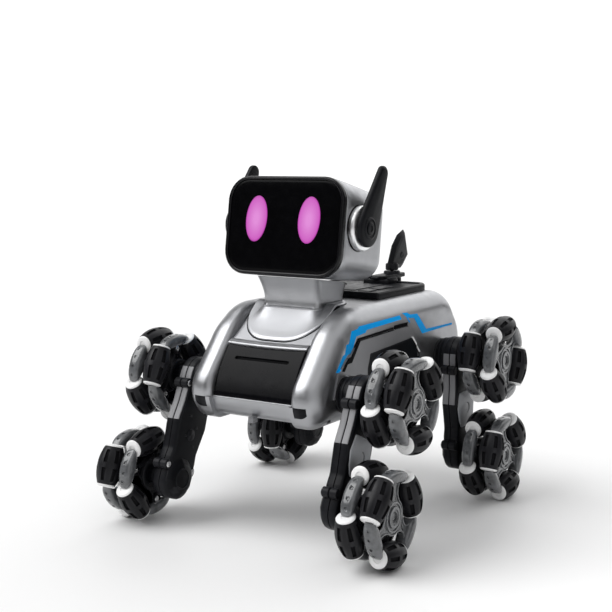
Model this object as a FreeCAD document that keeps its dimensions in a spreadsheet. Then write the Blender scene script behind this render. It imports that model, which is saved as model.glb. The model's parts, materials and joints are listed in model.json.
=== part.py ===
import FreeCAD, Part
import math
import os
import Sketcher
from FreeCAD import Placement, Rotation, Vector

# Robot dog toy on eight omni wheels, in millimetres.
# +Z is up, the dog faces -Y and its left side is +X. The origin lies on the floor,
# under the middle of the whole toy. A right-hand piece is a left-hand one turned
# half round about Z, because legs and wheels are alike fore and aft.

doc = FreeCAD.newDocument("RobotDog")
sheet = doc.addObject("Spreadsheet::Sheet", "Sizes")

CELLS = [
    # wheels
    ("wheel_radius", 35.0, "outer radius of an omni wheel"),
    ("roller_orbit", 25.3, "wheel axis to roller axis"),
    ("roller_half", 15.2, "half length of a roller with its caps"),
    ("roller_bore", 1.6, "radius of the hole through a roller"),
    ("roller_pin", 1.5, "radius of a roller pin"),
    ("cap_radius", 6.1, "radius of a roller end cap"),
    ("cap_thick", 1.2, "thickness of a roller end cap"),
    ("row_offset", 9.0, "wheel middle plane to a roller row"),
    ("link_tube", 5.4, "half thickness of a rim link"),
    ("hub_radius", 7.0, "radius of the wheel hub tube"),
    ("hub_plate", 12.5, "radius of the plate at each spider"),
    ("middle_plate", 18.0, "radius of the plate between the rows"),
    ("hub_outer", 11.7, "middle plane to the outer hub face"),
    ("hub_inner", 11.2, "middle plane to the inner hub face"),
    ("sleeve_start", 81.0, "symmetry plane to the start of an axle sleeve"),
    ("sleeve_radius", 6.8, "radius of the sleeve between leg and hub"),
    ("roller_gap", 0.3, "gap between a roller's cap and a rim link"),
    ("arm_width", 7.0, "width of a spider arm"),
    ("arm_thick", 4.0, "thickness of a spider arm"),
    ("wheel_plane", 103.0, "symmetry plane to wheel middle plane"),
    # legs
    ("leg_length", 77.0, "shoulder axis to lower wheel axis"),
    ("leg_round", 15.5, "end radius of a leg housing"),
    ("leg_wall", 2.0, "wall of a leg housing"),
    ("half_thick", 6.5, "thickness of one leg half"),
    ("leg_inner", 66.0, "symmetry plane to a leg's inner face"),
    ("cover_round", 13.0, "end radius of the raised outer plate"),
    ("cover_thick", 1.2, "height of the raised outer plate"),
    ("shoulder_disc", 13.5, "radius of the shoulder disc"),
    ("shoulder_tube", 7.0, "radius of the shoulder tube"),
    ("shaft", 2.5, "radius of the wheel shafts"),
    ("running_gap", 0.05, "radial clearance of a running fit"),
    ("pulley", 9.0, "belt pulley radius"),
    ("flange", 11.0, "pulley flange radius"),
    ("belt_thick", 1.6, "thickness of the drive belt"),
    ("belt_width", 4.6, "width of the drive belt"),
    ("front_axle", 76.1, "body datum to the front shoulder axis"),
    ("rear_axle", 76.1, "body datum to the rear shoulder axis"),
    ("front_lean", 24.7, "forward lean of a front leg, degrees"),
    ("rear_lean", -1.7, "forward lean of a rear leg, degrees"),
    # torso
    ("body_half", 57.0, "half width of the torso"),
    ("shell_wall", 2.5, "wall of the torso shells"),
    ("body_round", 15.0, "radius along the torso's side edges"),
    ("seam_height", 101.0, "height of the seam between the shells"),
    ("belly", 83.0, "height of the belly"),
    ("chin_line", 100.3, "height of the line below the chest panel"),
    ("chest_half", 34.0, "half width of the recess between the front lobes"),
    ("chest_thick", 1.4, "thickness of the chest panel at its edges"),
    ("chest_crown", 1.2, "rise of the chest panel's middle above its edges"),
    ("lobe_round", 6.0, "radius along the inner edge of a front lobe"),
    ("chin_step", 3.5, "how far the chin is set back between the lobes"),
    ("bush_bore", 7.05, "bore of a shoulder bush"),
    ("bush_radius", 10.0, "outer radius of a shoulder bush"),
    ("bush_flange", 13.0, "flange radius of a shoulder bush"),
    ("door_width", 56.0, "width of the battery opening"),
    ("door_length", 76.0, "length of the battery opening"),
    ("door_gap", 0.4, "gap round the battery door"),
    ("door_thick", 2.2, "thickness of the battery door"),
    ("knuckle", 2.2, "radius of the door's hinge barrel"),
    ("hinge_pin", 1.0, "radius of the door's hinge pin"),
    ("boss_radius", 4.2, "radius of a screw boss"),
    ("screw_head", 2.4, "radius of a screw head"),
    ("screw_shank", 1.2, "radius of a screw shank"),
    ("tray_width", 82.0, "width of the back tray"),
    ("tray_length", 88.0, "length of the back tray"),
    ("tray_height", 5.5, "height of the back tray"),
    ("tray_round", 12.0, "radius of the tray's rear corners"),
    ("tail_plate", 170.0, "height of the plate that carries the tail"),
    ("tray_step", 2.0, "drop from the tray's top to the seat of the tail"),
    ("tail_thick", 4.0, "thickness of the tail fin"),
    # head
    ("head_width", 101.0, "width of the head"),
    ("head_height", 73.0, "height of the head"),
    ("head_depth", 66.0, "depth of the silver head shell"),
    ("head_round", 18.0, "corner radius of the face"),
    ("head_wall", 2.5, "wall of the head shell"),
    ("bezel_depth", 5.6, "depth of the black face frame"),
    ("bezel_width", 4.0, "width of the black face frame"),
    ("screen_thick", 2.0, "thickness of the face screen"),
    ("head_pitch", 8.0, "upward tilt of the face, degrees"),
    ("swivel_radius", 9.0, "radius of the neck spigot"),
    ("ear_round", 13.5, "radius of an ear's round end"),
    ("ear_tip", 5.0, "radius of an ear's tip"),
    ("ear_reach", 45.0, "ear axis to the centre of its tip"),
    ("ear_thick", 4.2, "thickness of an ear"),
    ("ear_lean", 29.0, "backward lean of an ear, degrees"),
    ("ear_gap", 0.3, "gap between an ear and its ring"),
    ("ring_radius", 16.5, "radius of a bright ear ring"),
    ("ring_thick", 5.0, "thickness of a bright ear ring"),
    ("ear_shaft", 3.5, "radius of an ear's shaft"),
    # placing
    ("shift", 8.5, "body datum ahead of the origin"),
]

size = {}
for row, (alias, value, note) in enumerate(CELLS, start=1):
    sheet.set(f"A{row}", note)
    sheet.set(f"B{row}", str(value))
    sheet.setAlias(f"B{row}", alias)
    size[alias] = value
doc.recompute()

TIGHT = size["running_gap"]
X_AXIS = Vector(1, 0, 0)
Y_AXIS = Vector(0, 1, 0)
Z_AXIS = Vector(0, 0, 1)
ALONG_X = Rotation(Y_AXIS, 90)
nodes = []


def at(x, y, z):
    """A point given from the body datum, moved to the toy's own frame."""
    return Vector(x, y + size["shift"], z)


def bind(obj, expressions):
    for prop, expression in expressions.items():
        obj.setExpression(prop, expression)
    return obj


def cell(alias, factor=1, extra=0):
    """A sheet expression: factor times the named cell, plus extra."""
    return f"{factor} * Sizes.{alias} + {extra}"


def box(name, lengths, corner):
    """A Part::Box; each length is a sheet expression or a plain number."""
    obj = doc.addObject("Part::Box", name)
    for prop, length in zip(("Length", "Width", "Height"), lengths):
        if isinstance(length, str):
            obj.setExpression(prop, length)
        else:
            setattr(obj, prop, length)
    obj.Placement.Base = corner
    return obj


def cylinder(name, radius, height, base, turn=Rotation()):
    """A Part::Cylinder standing on base along the turned Z axis."""
    obj = doc.addObject("Part::Cylinder", name)
    for prop, length in (("Radius", radius), ("Height", height)):
        if isinstance(length, str):
            obj.setExpression(prop, length)
        else:
            setattr(obj, prop, length)
    obj.Placement = Placement(base, turn)
    return obj


def solid(name, shape):
    """A Part::Feature for a shape that no primitive gives."""
    obj = doc.addObject("Part::Feature", name)
    obj.Shape = shape
    return obj


def fuse(name, shapes):
    obj = doc.addObject("Part::MultiFuse", name)
    obj.Shapes = shapes
    return obj


def cut(name, base, tools):
    obj = doc.addObject("Part::Cut", name)
    obj.Base = base
    obj.Tool = tools[0] if len(tools) == 1 else fuse(name + "_tools", tools)
    return obj


def common(name, first, second):
    obj = doc.addObject("Part::Common", name)
    obj.Base = first
    obj.Tool = second
    return obj


def group(name, links):
    """Separate solids, or one, that share a node."""
    obj = doc.addObject("Part::Compound", name)
    obj.Links = links
    return obj


def node(name, obj, placement=None):
    """Mark obj as a finished piece whose file is called name."""
    obj.Label = name
    if placement is not None:
        obj.Placement = placement
    nodes.append(obj)
    return obj


def copy_of(name, master, placement):
    return node(name, group("Copy_" + name, [master]), placement)


def polygon_face(points):
    return Part.Face(Part.makePolygon(points + points[:1]))


# ---------------------------------------------------------------- sketches


def new_sketch(body, role, name, offset=0.0):
    sketch = body.newObject("Sketcher::SketchObject", name)
    plane = [item for item in body.Origin.OriginFeatures if item.Role == role][0]
    sketch.AttachmentSupport = [(plane, "")]
    sketch.MapMode = "FlatFace"
    sketch.AttachmentOffset = Placement(Vector(0, 0, offset), Rotation())
    return sketch


def named(sketch, name, constraint, expression):
    index = sketch.addConstraint(constraint)
    sketch.renameConstraint(index, name)
    sketch.setExpression("Constraints." + name, expression)


def slot_sketch(body, name, radii, reach, offset=0.0):
    """Outline round two circles: one at the origin, one reach below it."""
    first, second = (size[radii[0][0]] + radii[0][1], size[radii[1][0]] + radii[1][1])
    span = size[reach]
    slope = math.asin((first - second) / span)
    sketch = new_sketch(body, "YZ_Plane", name, offset)
    low = Vector(0, -span, 0)

    def on(centre, radius, angle):
        return centre + Vector(radius * math.cos(angle), radius * math.sin(angle), 0)

    top = Part.ArcOfCircle(Part.Circle(Vector(), Z_AXIS, first), -slope, math.pi + slope)
    bottom = Part.ArcOfCircle(Part.Circle(low, Z_AXIS, second), math.pi + slope, 2 * math.pi - slope)
    left = Part.LineSegment(on(Vector(), first, math.pi + slope), on(low, second, math.pi + slope))
    right = Part.LineSegment(on(low, second, -slope), on(Vector(), first, -slope))
    sketch.addGeometry([top, left, bottom, right], False)
    for geo, following in ((0, 1), (1, 2), (2, 3), (3, 0)):
        sketch.addConstraint(Sketcher.Constraint("Tangent", geo, 2, following, 1))
    sketch.addConstraint(Sketcher.Constraint("Coincident", 0, 3, -1, 1))
    sketch.addConstraint(Sketcher.Constraint("PointOnObject", 2, 3, -2))
    named(sketch, "Reach", Sketcher.Constraint("DistanceY", 2, 3, 0, 3, span), cell(reach))
    named(sketch, "First", Sketcher.Constraint("Radius", 0, first), cell(radii[0][0], 1, radii[0][1]))
    named(sketch, "Second", Sketcher.Constraint("Radius", 2, second), cell(radii[1][0], 1, radii[1][1]))
    return sketch


def circle_sketch(body, name, radius, drop=None, offset=0.0):
    """A circle at the origin, or as far below it as the cell drop says."""
    value = size[radius[0]] + radius[1]
    sketch = new_sketch(body, "YZ_Plane", name, offset)
    low = Vector(0, -size[drop], 0) if drop else Vector()
    sketch.addGeometry([Part.Circle(low, Z_AXIS, value)], False)
    named(sketch, "Round", Sketcher.Constraint("Radius", 0, value), cell(radius[0], 1, radius[1]))
    if drop:
        sketch.addConstraint(Sketcher.Constraint("PointOnObject", 0, 3, -2))
        named(sketch, "Drop", Sketcher.Constraint("DistanceY", 0, 3, -1, 1, size[drop]), cell(drop))
    else:
        sketch.addConstraint(Sketcher.Constraint("Coincident", 0, 3, -1, 1))
    return sketch


def rounded_sketch(body, role, name, width, height, radius, less=0.0, offset=0.0):
    """A rounded rectangle about the origin, its outline drawn in by less."""
    half_x = size[width] / 2 - less
    half_y = size[height] / 2 - less
    corner = size[radius] - less
    sketch = new_sketch(body, role, name, offset)
    edge_x = half_x - corner
    edge_y = half_y - corner
    corners = [(edge_x, -edge_y), (edge_x, edge_y), (-edge_x, edge_y), (-edge_x, -edge_y)]
    starts = [(-edge_x, -half_y), (half_x, -edge_y), (edge_x, half_y), (-half_x, edge_y)]
    ends = [(edge_x, -half_y), (half_x, edge_y), (-edge_x, half_y), (-half_x, -edge_y)]
    for index in range(4):
        begin = Vector(*starts[index], 0)
        finish = Vector(*ends[index], 0)
        sketch.addGeometry(Part.LineSegment(begin, finish), False)
        circle = Part.Circle(Vector(*corners[index], 0), Z_AXIS, corner)
        turn = (index - 1) * math.pi / 2
        sketch.addGeometry(Part.ArcOfCircle(circle, turn, turn + math.pi / 2), False)
    for geo in range(8):
        sketch.addConstraint(Sketcher.Constraint("Tangent", geo, 2, (geo + 1) % 8, 1))
    for geo, kind in ((0, "Horizontal"), (4, "Horizontal"), (2, "Vertical"), (6, "Vertical")):
        sketch.addConstraint(Sketcher.Constraint(kind, geo))
    for geo in (3, 5, 7):
        sketch.addConstraint(Sketcher.Constraint("Equal", 1, geo))
    named(sketch, "Corner", Sketcher.Constraint("Radius", 1, corner), cell(radius, 1, -less))
    sides = (
        ("Right", "DistanceX", -1, 1, 2, 1, half_x, width),
        ("Left", "DistanceX", 6, 1, -1, 1, half_x, width),
        ("Top", "DistanceY", -1, 1, 4, 1, half_y, height),
        ("Bottom", "DistanceY", 0, 1, -1, 1, half_y, height),
    )
    for label, kind, geo_a, point_a, geo_b, point_b, value, alias in sides:
        constraint = Sketcher.Constraint(kind, geo_a, point_a, geo_b, point_b, value)
        named(sketch, label, constraint, cell(alias, 0.5, -less))
    return sketch


def pad(body, sketch, name, length, backwards=False):
    feature = body.newObject("PartDesign::Pad", name)
    feature.Profile = sketch
    feature.setExpression("Length", length)
    feature.Reversed = backwards
    body.Tip = feature
    return feature


def pocket(body, sketch, name, depth, backwards=False):
    """A blind pocket; it has to take material away."""
    before = body.Tip
    feature = body.newObject("PartDesign::Pocket", name)
    feature.Profile = sketch
    feature.setExpression("Length", depth)
    feature.Reversed = backwards
    body.Tip = feature
    doc.recompute()
    if feature.Shape.Volume > before.Shape.Volume - 0.01:
        raise RuntimeError(f"{body.Label}: {name} cuts nothing")
    return feature


def new_body(name):
    return doc.addObject("PartDesign::Body", name)


# ------------------------------------------------------------- omni wheels
# A wheel has two rows of three rollers; the first roller of each row is turned
# this many degrees from straight up, and the links lie between the rollers.

ROWS = ((1, 60), (-1, 0))


def roller_outline():
    """Half section of a roller: its barrel arc is centred on the wheel axis."""
    orbit = size["roller_orbit"]
    radius = size["wheel_radius"]
    half = size["roller_half"] - size["cap_thick"]
    bore = size["roller_bore"]

    def barrel(along):
        return math.sqrt(radius ** 2 - along ** 2) - orbit

    arc = Part.Arc(Vector(-half, barrel(half), 0), Vector(0, barrel(0), 0), Vector(half, barrel(half), 0))
    corners = [Vector(half, barrel(half), 0), Vector(half, bore, 0), Vector(-half, bore, 0),
               Vector(-half, barrel(half), 0)]
    return Part.Face(Part.Wire([arc.toShape()] + Part.makePolygon(corners).Edges))


def roller():
    """One rubber roller along local X with a pale cap at each end."""
    barrel = solid("roller_barrel", roller_outline().revolve(Vector(), X_AXIS, 360))
    caps = []
    for side in (-1, 1):
        start = side * size["roller_half"] - (size["cap_thick"] if side > 0 else 0)
        base = Vector(start, 0, 0)
        disc = cylinder("roller_cap_disc", cell("cap_radius"), cell("cap_thick"), base, ALONG_X)
        hole = cylinder("roller_cap_hole", cell("roller_bore"), cell("cap_thick"), base, ALONG_X)
        caps.append(cut("roller_cap", disc, [hole]))
    return fuse("roller_master", [barrel] + caps)


def spun(row, angle):
    """Placement on the rim: angle from straight up, about the wheel axis X."""
    turn = Rotation(X_AXIS, angle)
    base = Vector(row * size["row_offset"], 0, 0) + turn.multVec(Vector(0, 0, size["roller_orbit"]))
    return Placement(base, turn)


def roller_set():
    """Six rollers; their axes are tangents of the wheel, and each row has three."""
    single = roller()
    placed = []
    for row, first in ROWS:
        for index in range(3):
            item = group("roller_placed", [single])
            place = spun(row, first + 120 * index)
            item.Placement = Placement(place.Base, place.Rotation.multiply(Rotation(Z_AXIS, 90)))
            placed.append(item)
    return group("roller_set", placed)


def rim_link(row, angle):
    """A curved link that reaches between the ends of two rollers."""
    span = 120 - 2 * math.degrees(math.atan2(size["roller_half"], size["wheel_radius"]))
    obj = doc.addObject("Part::Torus", "rim_link")
    bind(obj, {"Radius1": cell("roller_orbit", 1, 0.9), "Radius2": cell("link_tube")})
    obj.Angle3 = span
    flat = Rotation(Y_AXIS, 90)
    start = Rotation(X_AXIS, angle - span / 2)
    obj.Placement = Placement(Vector(row * size["row_offset"], 0, 0),
                              start.multiply(Rotation(X_AXIS, 180)).multiply(flat))
    return obj


def roller_room(seat):
    """Space for a roller between two links: its ends are parallel to the caps."""
    along = seat.Rotation.multiply(Rotation(X_AXIS, 90))
    half = size["roller_half"] + size["roller_gap"]
    radius = size["wheel_radius"] - size["roller_orbit"] + size["roller_gap"]
    return cylinder("roller_room", radius, 2 * half, seat.Base - along.multVec(Z_AXIS) * half, along)


def rim_links():
    """Six rim links, with their ends cut square to the rollers beside them."""
    rooms = [roller_room(spun(row, first + 120 * index)) for row, first in ROWS for index in range(3)]
    links = [rim_link(row, first + 60 + 120 * index) for row, first in ROWS for index in range(3)]
    return cut("rim_links", fuse("rim_link_set", links), rooms)


def wheel_frame():
    """Hub tube, plates, two three-armed spiders, six rim links and six roller pins."""
    inner = size["hub_inner"]
    pieces = [
        cylinder("hub_tube", cell("hub_radius"), f"{inner} + Sizes.hub_outer",
                 Vector(-inner, 0, 0), ALONG_X),
        cylinder("middle_disc", cell("middle_plate"), 3.6, Vector(-1.8, 0, 0), ALONG_X),
        rim_links(),
    ]
    for row, first in ROWS:
        plate_start = row * size["row_offset"] - size["arm_thick"] / 2
        pieces.append(cylinder("spider_plate", cell("hub_plate"), cell("arm_thick"),
                               Vector(plate_start, 0, 0), ALONG_X))
        for index in range(3):
            turn = Rotation(X_AXIS, first + 60 + 120 * index)
            corner = Vector(plate_start, -size["arm_width"] / 2, 5)
            spoke = box("spider_arm", (cell("arm_thick"), cell("arm_width"), cell("roller_orbit", 1, -8)),
                        corner)
            spoke.Placement = Placement(turn.multVec(corner), turn)
            pieces.append(spoke)
            seat = spun(row, first + 120 * index)
            along = seat.Rotation.multiply(Rotation(X_AXIS, 90))
            start = seat.Base - along.multVec(Z_AXIS) * (size["roller_half"] + 1.5)
            pieces.append(cylinder("roller_pin", cell("roller_pin"), cell("roller_half", 2, 3),
                                   start, along))
    whole = fuse("wheel_frame_whole", pieces)
    bore = cylinder("hub_bore", cell("shaft"), f"{inner} + 10", Vector(-inner, 0, 0), ALONG_X)
    recess = cylinder("hub_recess", 3.6, 4, Vector(10, 0, 0), ALONG_X)
    return cut("wheel_frame_master", whole, [bore, recess])


# -------------------------------------------------------------------- legs
# A leg stands in its own frame: the shoulder axis is local X, the leg hangs
# down -Z, and local x = 0 is its inner face.


def inner_housing():
    body = new_body("inner_housing")
    ends = (("leg_round", 0), ("leg_round", 0))
    pad(body, slot_sketch(body, "shell_outline", ends, "leg_length"), "shell", cell("half_thick"))
    wall = size["leg_wall"]
    inside = (("leg_round", -wall), ("leg_round", -wall))
    hollow = slot_sketch(body, "hollow_outline", inside, "leg_length", size["half_thick"])
    pocket(body, hollow, "hollow", "Sizes.half_thick - Sizes.leg_wall")
    pad(body, circle_sketch(body, "disc_outline", ("shoulder_disc", 0)), "disc", "6.6 mm", True)
    pad(body, circle_sketch(body, "tube_outline", ("shoulder_tube", 0)), "tube", "17 mm", True)
    pad(body, circle_sketch(body, "boss_outline", ("shaft", 4.2), "leg_length"), "boss", "1 mm", True)
    bore = circle_sketch(body, "bore_outline", ("shaft", 0.5), None, size["leg_wall"])
    pocket(body, bore, "bore", "20 mm")
    seat = circle_sketch(body, "seat_outline", ("shaft", TIGHT), "leg_length", size["leg_wall"])
    pocket(body, seat, "seat", "1.6 mm")
    return body


def outer_housing():
    body = new_body("outer_housing")
    ends = (("leg_round", 0), ("leg_round", 0))
    pad(body, slot_sketch(body, "shell_outline", ends, "leg_length"), "shell", cell("half_thick"))
    raised = (("cover_round", 0), ("cover_round", 0))
    plate = slot_sketch(body, "plate_outline", raised, "leg_length", size["half_thick"])
    pad(body, plate, "plate", cell("cover_thick"))
    wall = size["leg_wall"]
    inside = (("leg_round", -wall), ("leg_round", -wall))
    pocket(body, slot_sketch(body, "hollow_outline", inside, "leg_length"), "hollow",
           "Sizes.half_thick - Sizes.leg_wall", True)
    for drop, name in ((None, "upper"), ("leg_length", "lower")):
        hole = circle_sketch(body, name + "_outline", ("shaft", TIGHT), drop)
        pocket(body, hole, name + "_bore", "20 mm", True)
    return body


def drive_belt():
    body = new_body("drive_belt")
    thick = size["belt_thick"]
    ends = (("pulley", TIGHT + thick), ("pulley", TIGHT + thick))
    pad(body, slot_sketch(body, "outside", ends, "leg_length"), "band", cell("belt_width"))
    ends = (("pulley", TIGHT), ("pulley", TIGHT))
    pocket(body, slot_sketch(body, "inside", ends, "leg_length"), "middle", cell("belt_width"), True)
    return body


def axle(name, start, end):
    """Shaft from start to end along X, with its belt pulley and the sleeve before the hub."""
    belt_start = size["leg_inner"] + 4.2
    width = size["belt_width"]
    pieces = [
        cylinder(name + "_shaft", cell("shaft"), end - start, Vector(start, 0, 0), ALONG_X),
        cylinder(name + "_pulley", cell("pulley"), cell("belt_width", 1, 0.4),
                 Vector(belt_start - 0.2, 0, 0), ALONG_X),
        cylinder(name + "_flange_in", cell("flange"), 0.8, Vector(belt_start - 1.0, 0, 0), ALONG_X),
        cylinder(name + "_flange_out", cell("flange"), 0.8,
                 Vector(belt_start + width + 0.2, 0, 0), ALONG_X),
        cylinder(name + "_sleeve", cell("sleeve_radius"),
                 "Sizes.wheel_plane - Sizes.hub_inner - Sizes.sleeve_start",
                 Vector(size["sleeve_start"], 0, 0), ALONG_X),
    ]
    return fuse(name + "_master", pieces)


# ------------------------------------------------------------------- torso


def tangent_wire(corners):
    """Closed wire in the YZ plane; each corner (y, z, radius) is an arc."""
    edges = []
    count = len(corners)
    arcs = []
    for index, (y, z, radius) in enumerate(corners):
        here = at(0, y, z)
        back = at(0, *corners[index - 1][:2]) - here
        ahead = at(0, *corners[(index + 1) % count][:2]) - here
        back.normalize()
        ahead.normalize()
        half = back.getAngle(ahead) / 2
        run = radius / math.tan(half)
        middle = back + ahead
        middle.normalize()
        peak = here + middle * (radius / math.sin(half) - radius)
        arcs.append((here + back * run, peak, here + ahead * run))
    for index, (begin, peak, finish) in enumerate(arcs):
        edges.append(Part.Arc(begin, peak, finish).toShape())
        edges.append(Part.LineSegment(finish, arcs[(index + 1) % count][0]).toShape())
    return Part.Wire(edges)


def torso_corners():
    """Side outline of the torso, from the chin over the lobes to the rump."""
    belly = size["belly"]
    return [
        (-106, belly, 12),
        (-118, 106, 22),
        (-83, 148, 40),
        (-60, 163, 40),
        (96, 163, 34),
        (123, 128, 30),
        (112, belly, 16),
    ]


def torso_prism(low, high, inset, rounds):
    """The torso's side outline from x = low to x = high, its two rims rounded."""
    wire = tangent_wire(torso_corners())
    if inset:
        wire = wire.makeOffset2D(-inset)
    wire.translate(Vector(low, 0, 0))
    prism = Part.Face(wire).extrude(Vector(high - low, 0, 0))
    for end, radius in zip((low, high), rounds):
        rim = [edge for edge in prism.Edges if abs(edge.CenterOfMass.x - end) < 0.01]
        prism = prism.makeFillet(radius, rim)
    return prism


def torso_block(name, inset):
    """The torso with no recess between its front lobes."""
    half = size["body_half"] - inset
    corner = size["body_round"] - inset
    return solid(name, torso_prism(-half, half, inset, (corner, corner)))


def chest_recess(name, widen, half):
    """What is taken out in front of the sloping chest, up to x = half either way."""
    line = size["chin_line"]
    floor = [(-140, line), (-108.5 + widen, line), (-87.6 + widen, 136.4), (-62 + widen, 155),
             (-46 + widen, 163)]
    profile = [at(0, y, z - widen) for y, z in floor]
    face = polygon_face(profile + [at(0, -46 + widen, 190), at(0, -140, 190)])
    face.translate(Vector(-half, 0, 0))
    return solid(name, face.extrude(Vector(2 * half, 0, 0)))


def torso_form(name, inset):
    """Outer form of the torso, or its hollow when inset is the wall: two rounded
    front lobes stand proud of the sloping chest, and the chin is set back."""
    near = size["chest_half"] + inset
    far = size["body_half"] - inset
    inner = size["lobe_round"] - inset
    outer = size["body_round"] - inset
    block = torso_block(name + "_block", inset)
    sloped = cut(name + "_sloped", block, [chest_recess(name + "_slope", inset, 70)])
    lobes = [solid(name + "_lobe", torso_prism(near, far, inset, (inner, outer))),
             solid(name + "_lobe", torso_prism(-far, -near, inset, (outer, inner)))]
    front = box(name + "_front", (2 * near, 60, 60), at(-near, -148 + inset, size["chin_line"] - 60))
    chin = cut(name + "_chin", front, [torso_block(name + "_set_back", inset + size["chin_step"])])
    return cut(name, fuse(name + "_joined", [sloped] + lobes), [chin])


def shoulder_points():
    """Side, fore-and-aft sign, y and z of the four shoulder axes."""
    for end, sign in (("front", -1), ("rear", 1)):
        lean = math.radians(size[end + "_lean"])
        height = size["wheel_radius"] + size["leg_length"] * math.cos(lean)
        for side in (1, -1):
            yield side, sign, sign * size[end + "_axle"], height


def bumper_boxes():
    return [box("bumper_box", (10.2, 10, 8.4), at(side * 42.6 - 5.1, -121, 92)) for side in (-1, 1)]


def corner_bumpers():
    """Square dark inserts, flush with the lower front corners."""
    block = torso_form("bumper_form", 0)
    bumpers = [common("bumper", block, tool) for tool in bumper_boxes()]
    node("corner_bumpers", group("bumper_pair", bumpers))


def screw_points():
    for x in (-50.5, 50.5):
        for y in (-92, -40, 40, 92):
            yield x, y


def screw_bosses(start, end):
    return [cylinder("screw_boss", cell("boss_radius"), end - start, at(x, y, start))
            for x, y in screw_points()]


def screw_holes():
    """A hole for the shank right through, and a deeper well for the head."""
    holes = []
    for x, y in screw_points():
        holes.append(cylinder("shank_hole", cell("screw_shank"), 40, at(x, y, 80)))
        holes.append(cylinder("head_well", cell("screw_head"), 14, at(x, y, 76)))
    return holes


def torso_shells():
    hollow = torso_form("torso_hollow", size["shell_wall"])
    shell = cut("torso_walls", torso_form("torso_outer", 0), [hollow])
    seam = size["seam_height"]
    holes = [cylinder("shoulder_hole", cell("bush_radius"), 140, at(-70, y, z), ALONG_X)
             for side, sign, y, z in shoulder_points() if side > 0]
    pockets = bumper_boxes()
    tray = box("tray_opening", (56, 70, 20), at(-28, 6, 150))
    neck = box("neck_opening", (40, 26, 40), at(-20, -62, 135))
    above = box("above_seam", (400, 400, 200), Vector(-200, -200, seam))
    seam_top = fuse("upper_joined", [common("upper_half", shell, above)] + screw_bosses(seam, 114))
    upper = cut("upper_shell", seam_top, holes + pockets + [tray, neck] + screw_holes())
    below = box("below_seam", (400, 400, 200), Vector(-200, -200, seam - 200))
    door = box("door_opening", (cell("door_width"), cell("door_length", 1, 5.0), 8),
               at(-size["door_width"] / 2, -size["door_length"] / 2, size["belly"] - 4))
    slot = box("switch_slot", (6.4, 14, 8), at(-3.2, 60, size["belly"] - 4))
    seam_low = fuse("lower_joined", [common("lower_half", shell, below)] + screw_bosses(88, seam))
    lower = cut("lower_cut", seam_low, holes + pockets + [door, slot] + screw_holes())
    hinge_y = size["door_length"] / 2 + 2.0
    hinge_z = size["belly"] + size["knuckle"] + 0.1
    lugs = [box("hinge_lug", (5.0, 5.0, 5.4), at(x, hinge_y - 1.6, size["belly"]))
            for x in (-size["door_width"] / 2 - 0.6, size["door_width"] / 2 - 4.4)]
    pin = cylinder("door_pin", cell("hinge_pin"), cell("door_width", 1, -2),
                   at(-size["door_width"] / 2 + 1, hinge_y, hinge_z), ALONG_X)
    node("torso_upper_shell", upper)
    node("torso_lower_shell", fuse("lower_shell", [lower, pin] + lugs))


def chest_panel():
    """Glossy crowned plate that lies on the sloping chest between the lobes."""
    half = size["chest_half"] - 0.6
    low = at(0, -108.2, 100.9)
    high = at(0, -87.7, 136.3)
    outward = Vector(0, low.z - high.z, high.y - low.y).normalize()
    edge = outward * size["chest_thick"]
    crown = outward * (size["chest_thick"] + size["chest_crown"])
    rest = outward * 0.05
    front = Part.Arc(low + edge, (low + high) * 0.5 + crown, high + edge).toShape()
    sides = Part.makePolygon([high + edge, high + rest, low + rest, low + edge]).Edges
    wire = Part.Wire([front] + sides)
    wire.translate(Vector(-half, 0, 0))
    node("chest_panel", solid("chest", Part.Face(wire).extrude(Vector(2 * half, 0, 0))))


TRAY_TOP = 163 + size["tray_height"]


def back_tray():
    body = new_body("tray")
    sketch = new_sketch(body, "XY_Plane", "tray_outline")
    half_x = size["tray_width"] / 2
    half_y = size["tray_length"] / 2
    points = [Vector(-half_x, -half_y, 0), Vector(half_x, -half_y, 0), Vector(half_x, half_y, 0),
              Vector(-half_x, half_y, 0)]
    for index in range(4):
        sketch.addGeometry(Part.LineSegment(points[index], points[(index + 1) % 4]), False)
    for index in range(4):
        sketch.addConstraint(Sketcher.Constraint("Coincident", index, 2, (index + 1) % 4, 1))
    for geo, kind in ((0, "Horizontal"), (2, "Horizontal"), (1, "Vertical"), (3, "Vertical")):
        sketch.addConstraint(Sketcher.Constraint(kind, geo))
    sketch.addConstraint(Sketcher.Constraint("Symmetric", 0, 1, 1, 2, -1, 1))
    named(sketch, "Wide", Sketcher.Constraint("DistanceX", 0, 1, 0, 2, 2 * half_x), cell("tray_width"))
    named(sketch, "Long", Sketcher.Constraint("DistanceY", 1, 1, 1, 2, 2 * half_y), cell("tray_length"))
    block = pad(body, sketch, "block", cell("tray_height"))
    doc.recompute()
    rear = [f"Edge{index + 1}" for index, edge in enumerate(block.Shape.Edges)
            if abs(edge.CenterOfMass.z - size["tray_height"] / 2) < 0.01 and edge.CenterOfMass.y > 0]
    corners = body.newObject("PartDesign::Fillet", "rear_corners")
    corners.Base = (block, rear)
    corners.Radius = size["tray_round"]
    doc.recompute()
    top = [f"Edge{index + 1}" for index, edge in enumerate(corners.Shape.Edges)
           if edge.CenterOfMass.z > size["tray_height"] - 0.01]
    bevel = body.newObject("PartDesign::Chamfer", "bevel")
    bevel.Base = (corners, top)
    bevel.Size = 1.5
    body.Tip = bevel
    whole = group("tray_placed", [body])
    whole.Placement = Placement(at(0, 44, 163), Rotation())
    seat = box("tail_seat", (80, 40, 10), at(-40, 68, TRAY_TOP - size["tray_step"]))
    node("back_tray", cut("tray_stepped", whole, [seat]))


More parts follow.
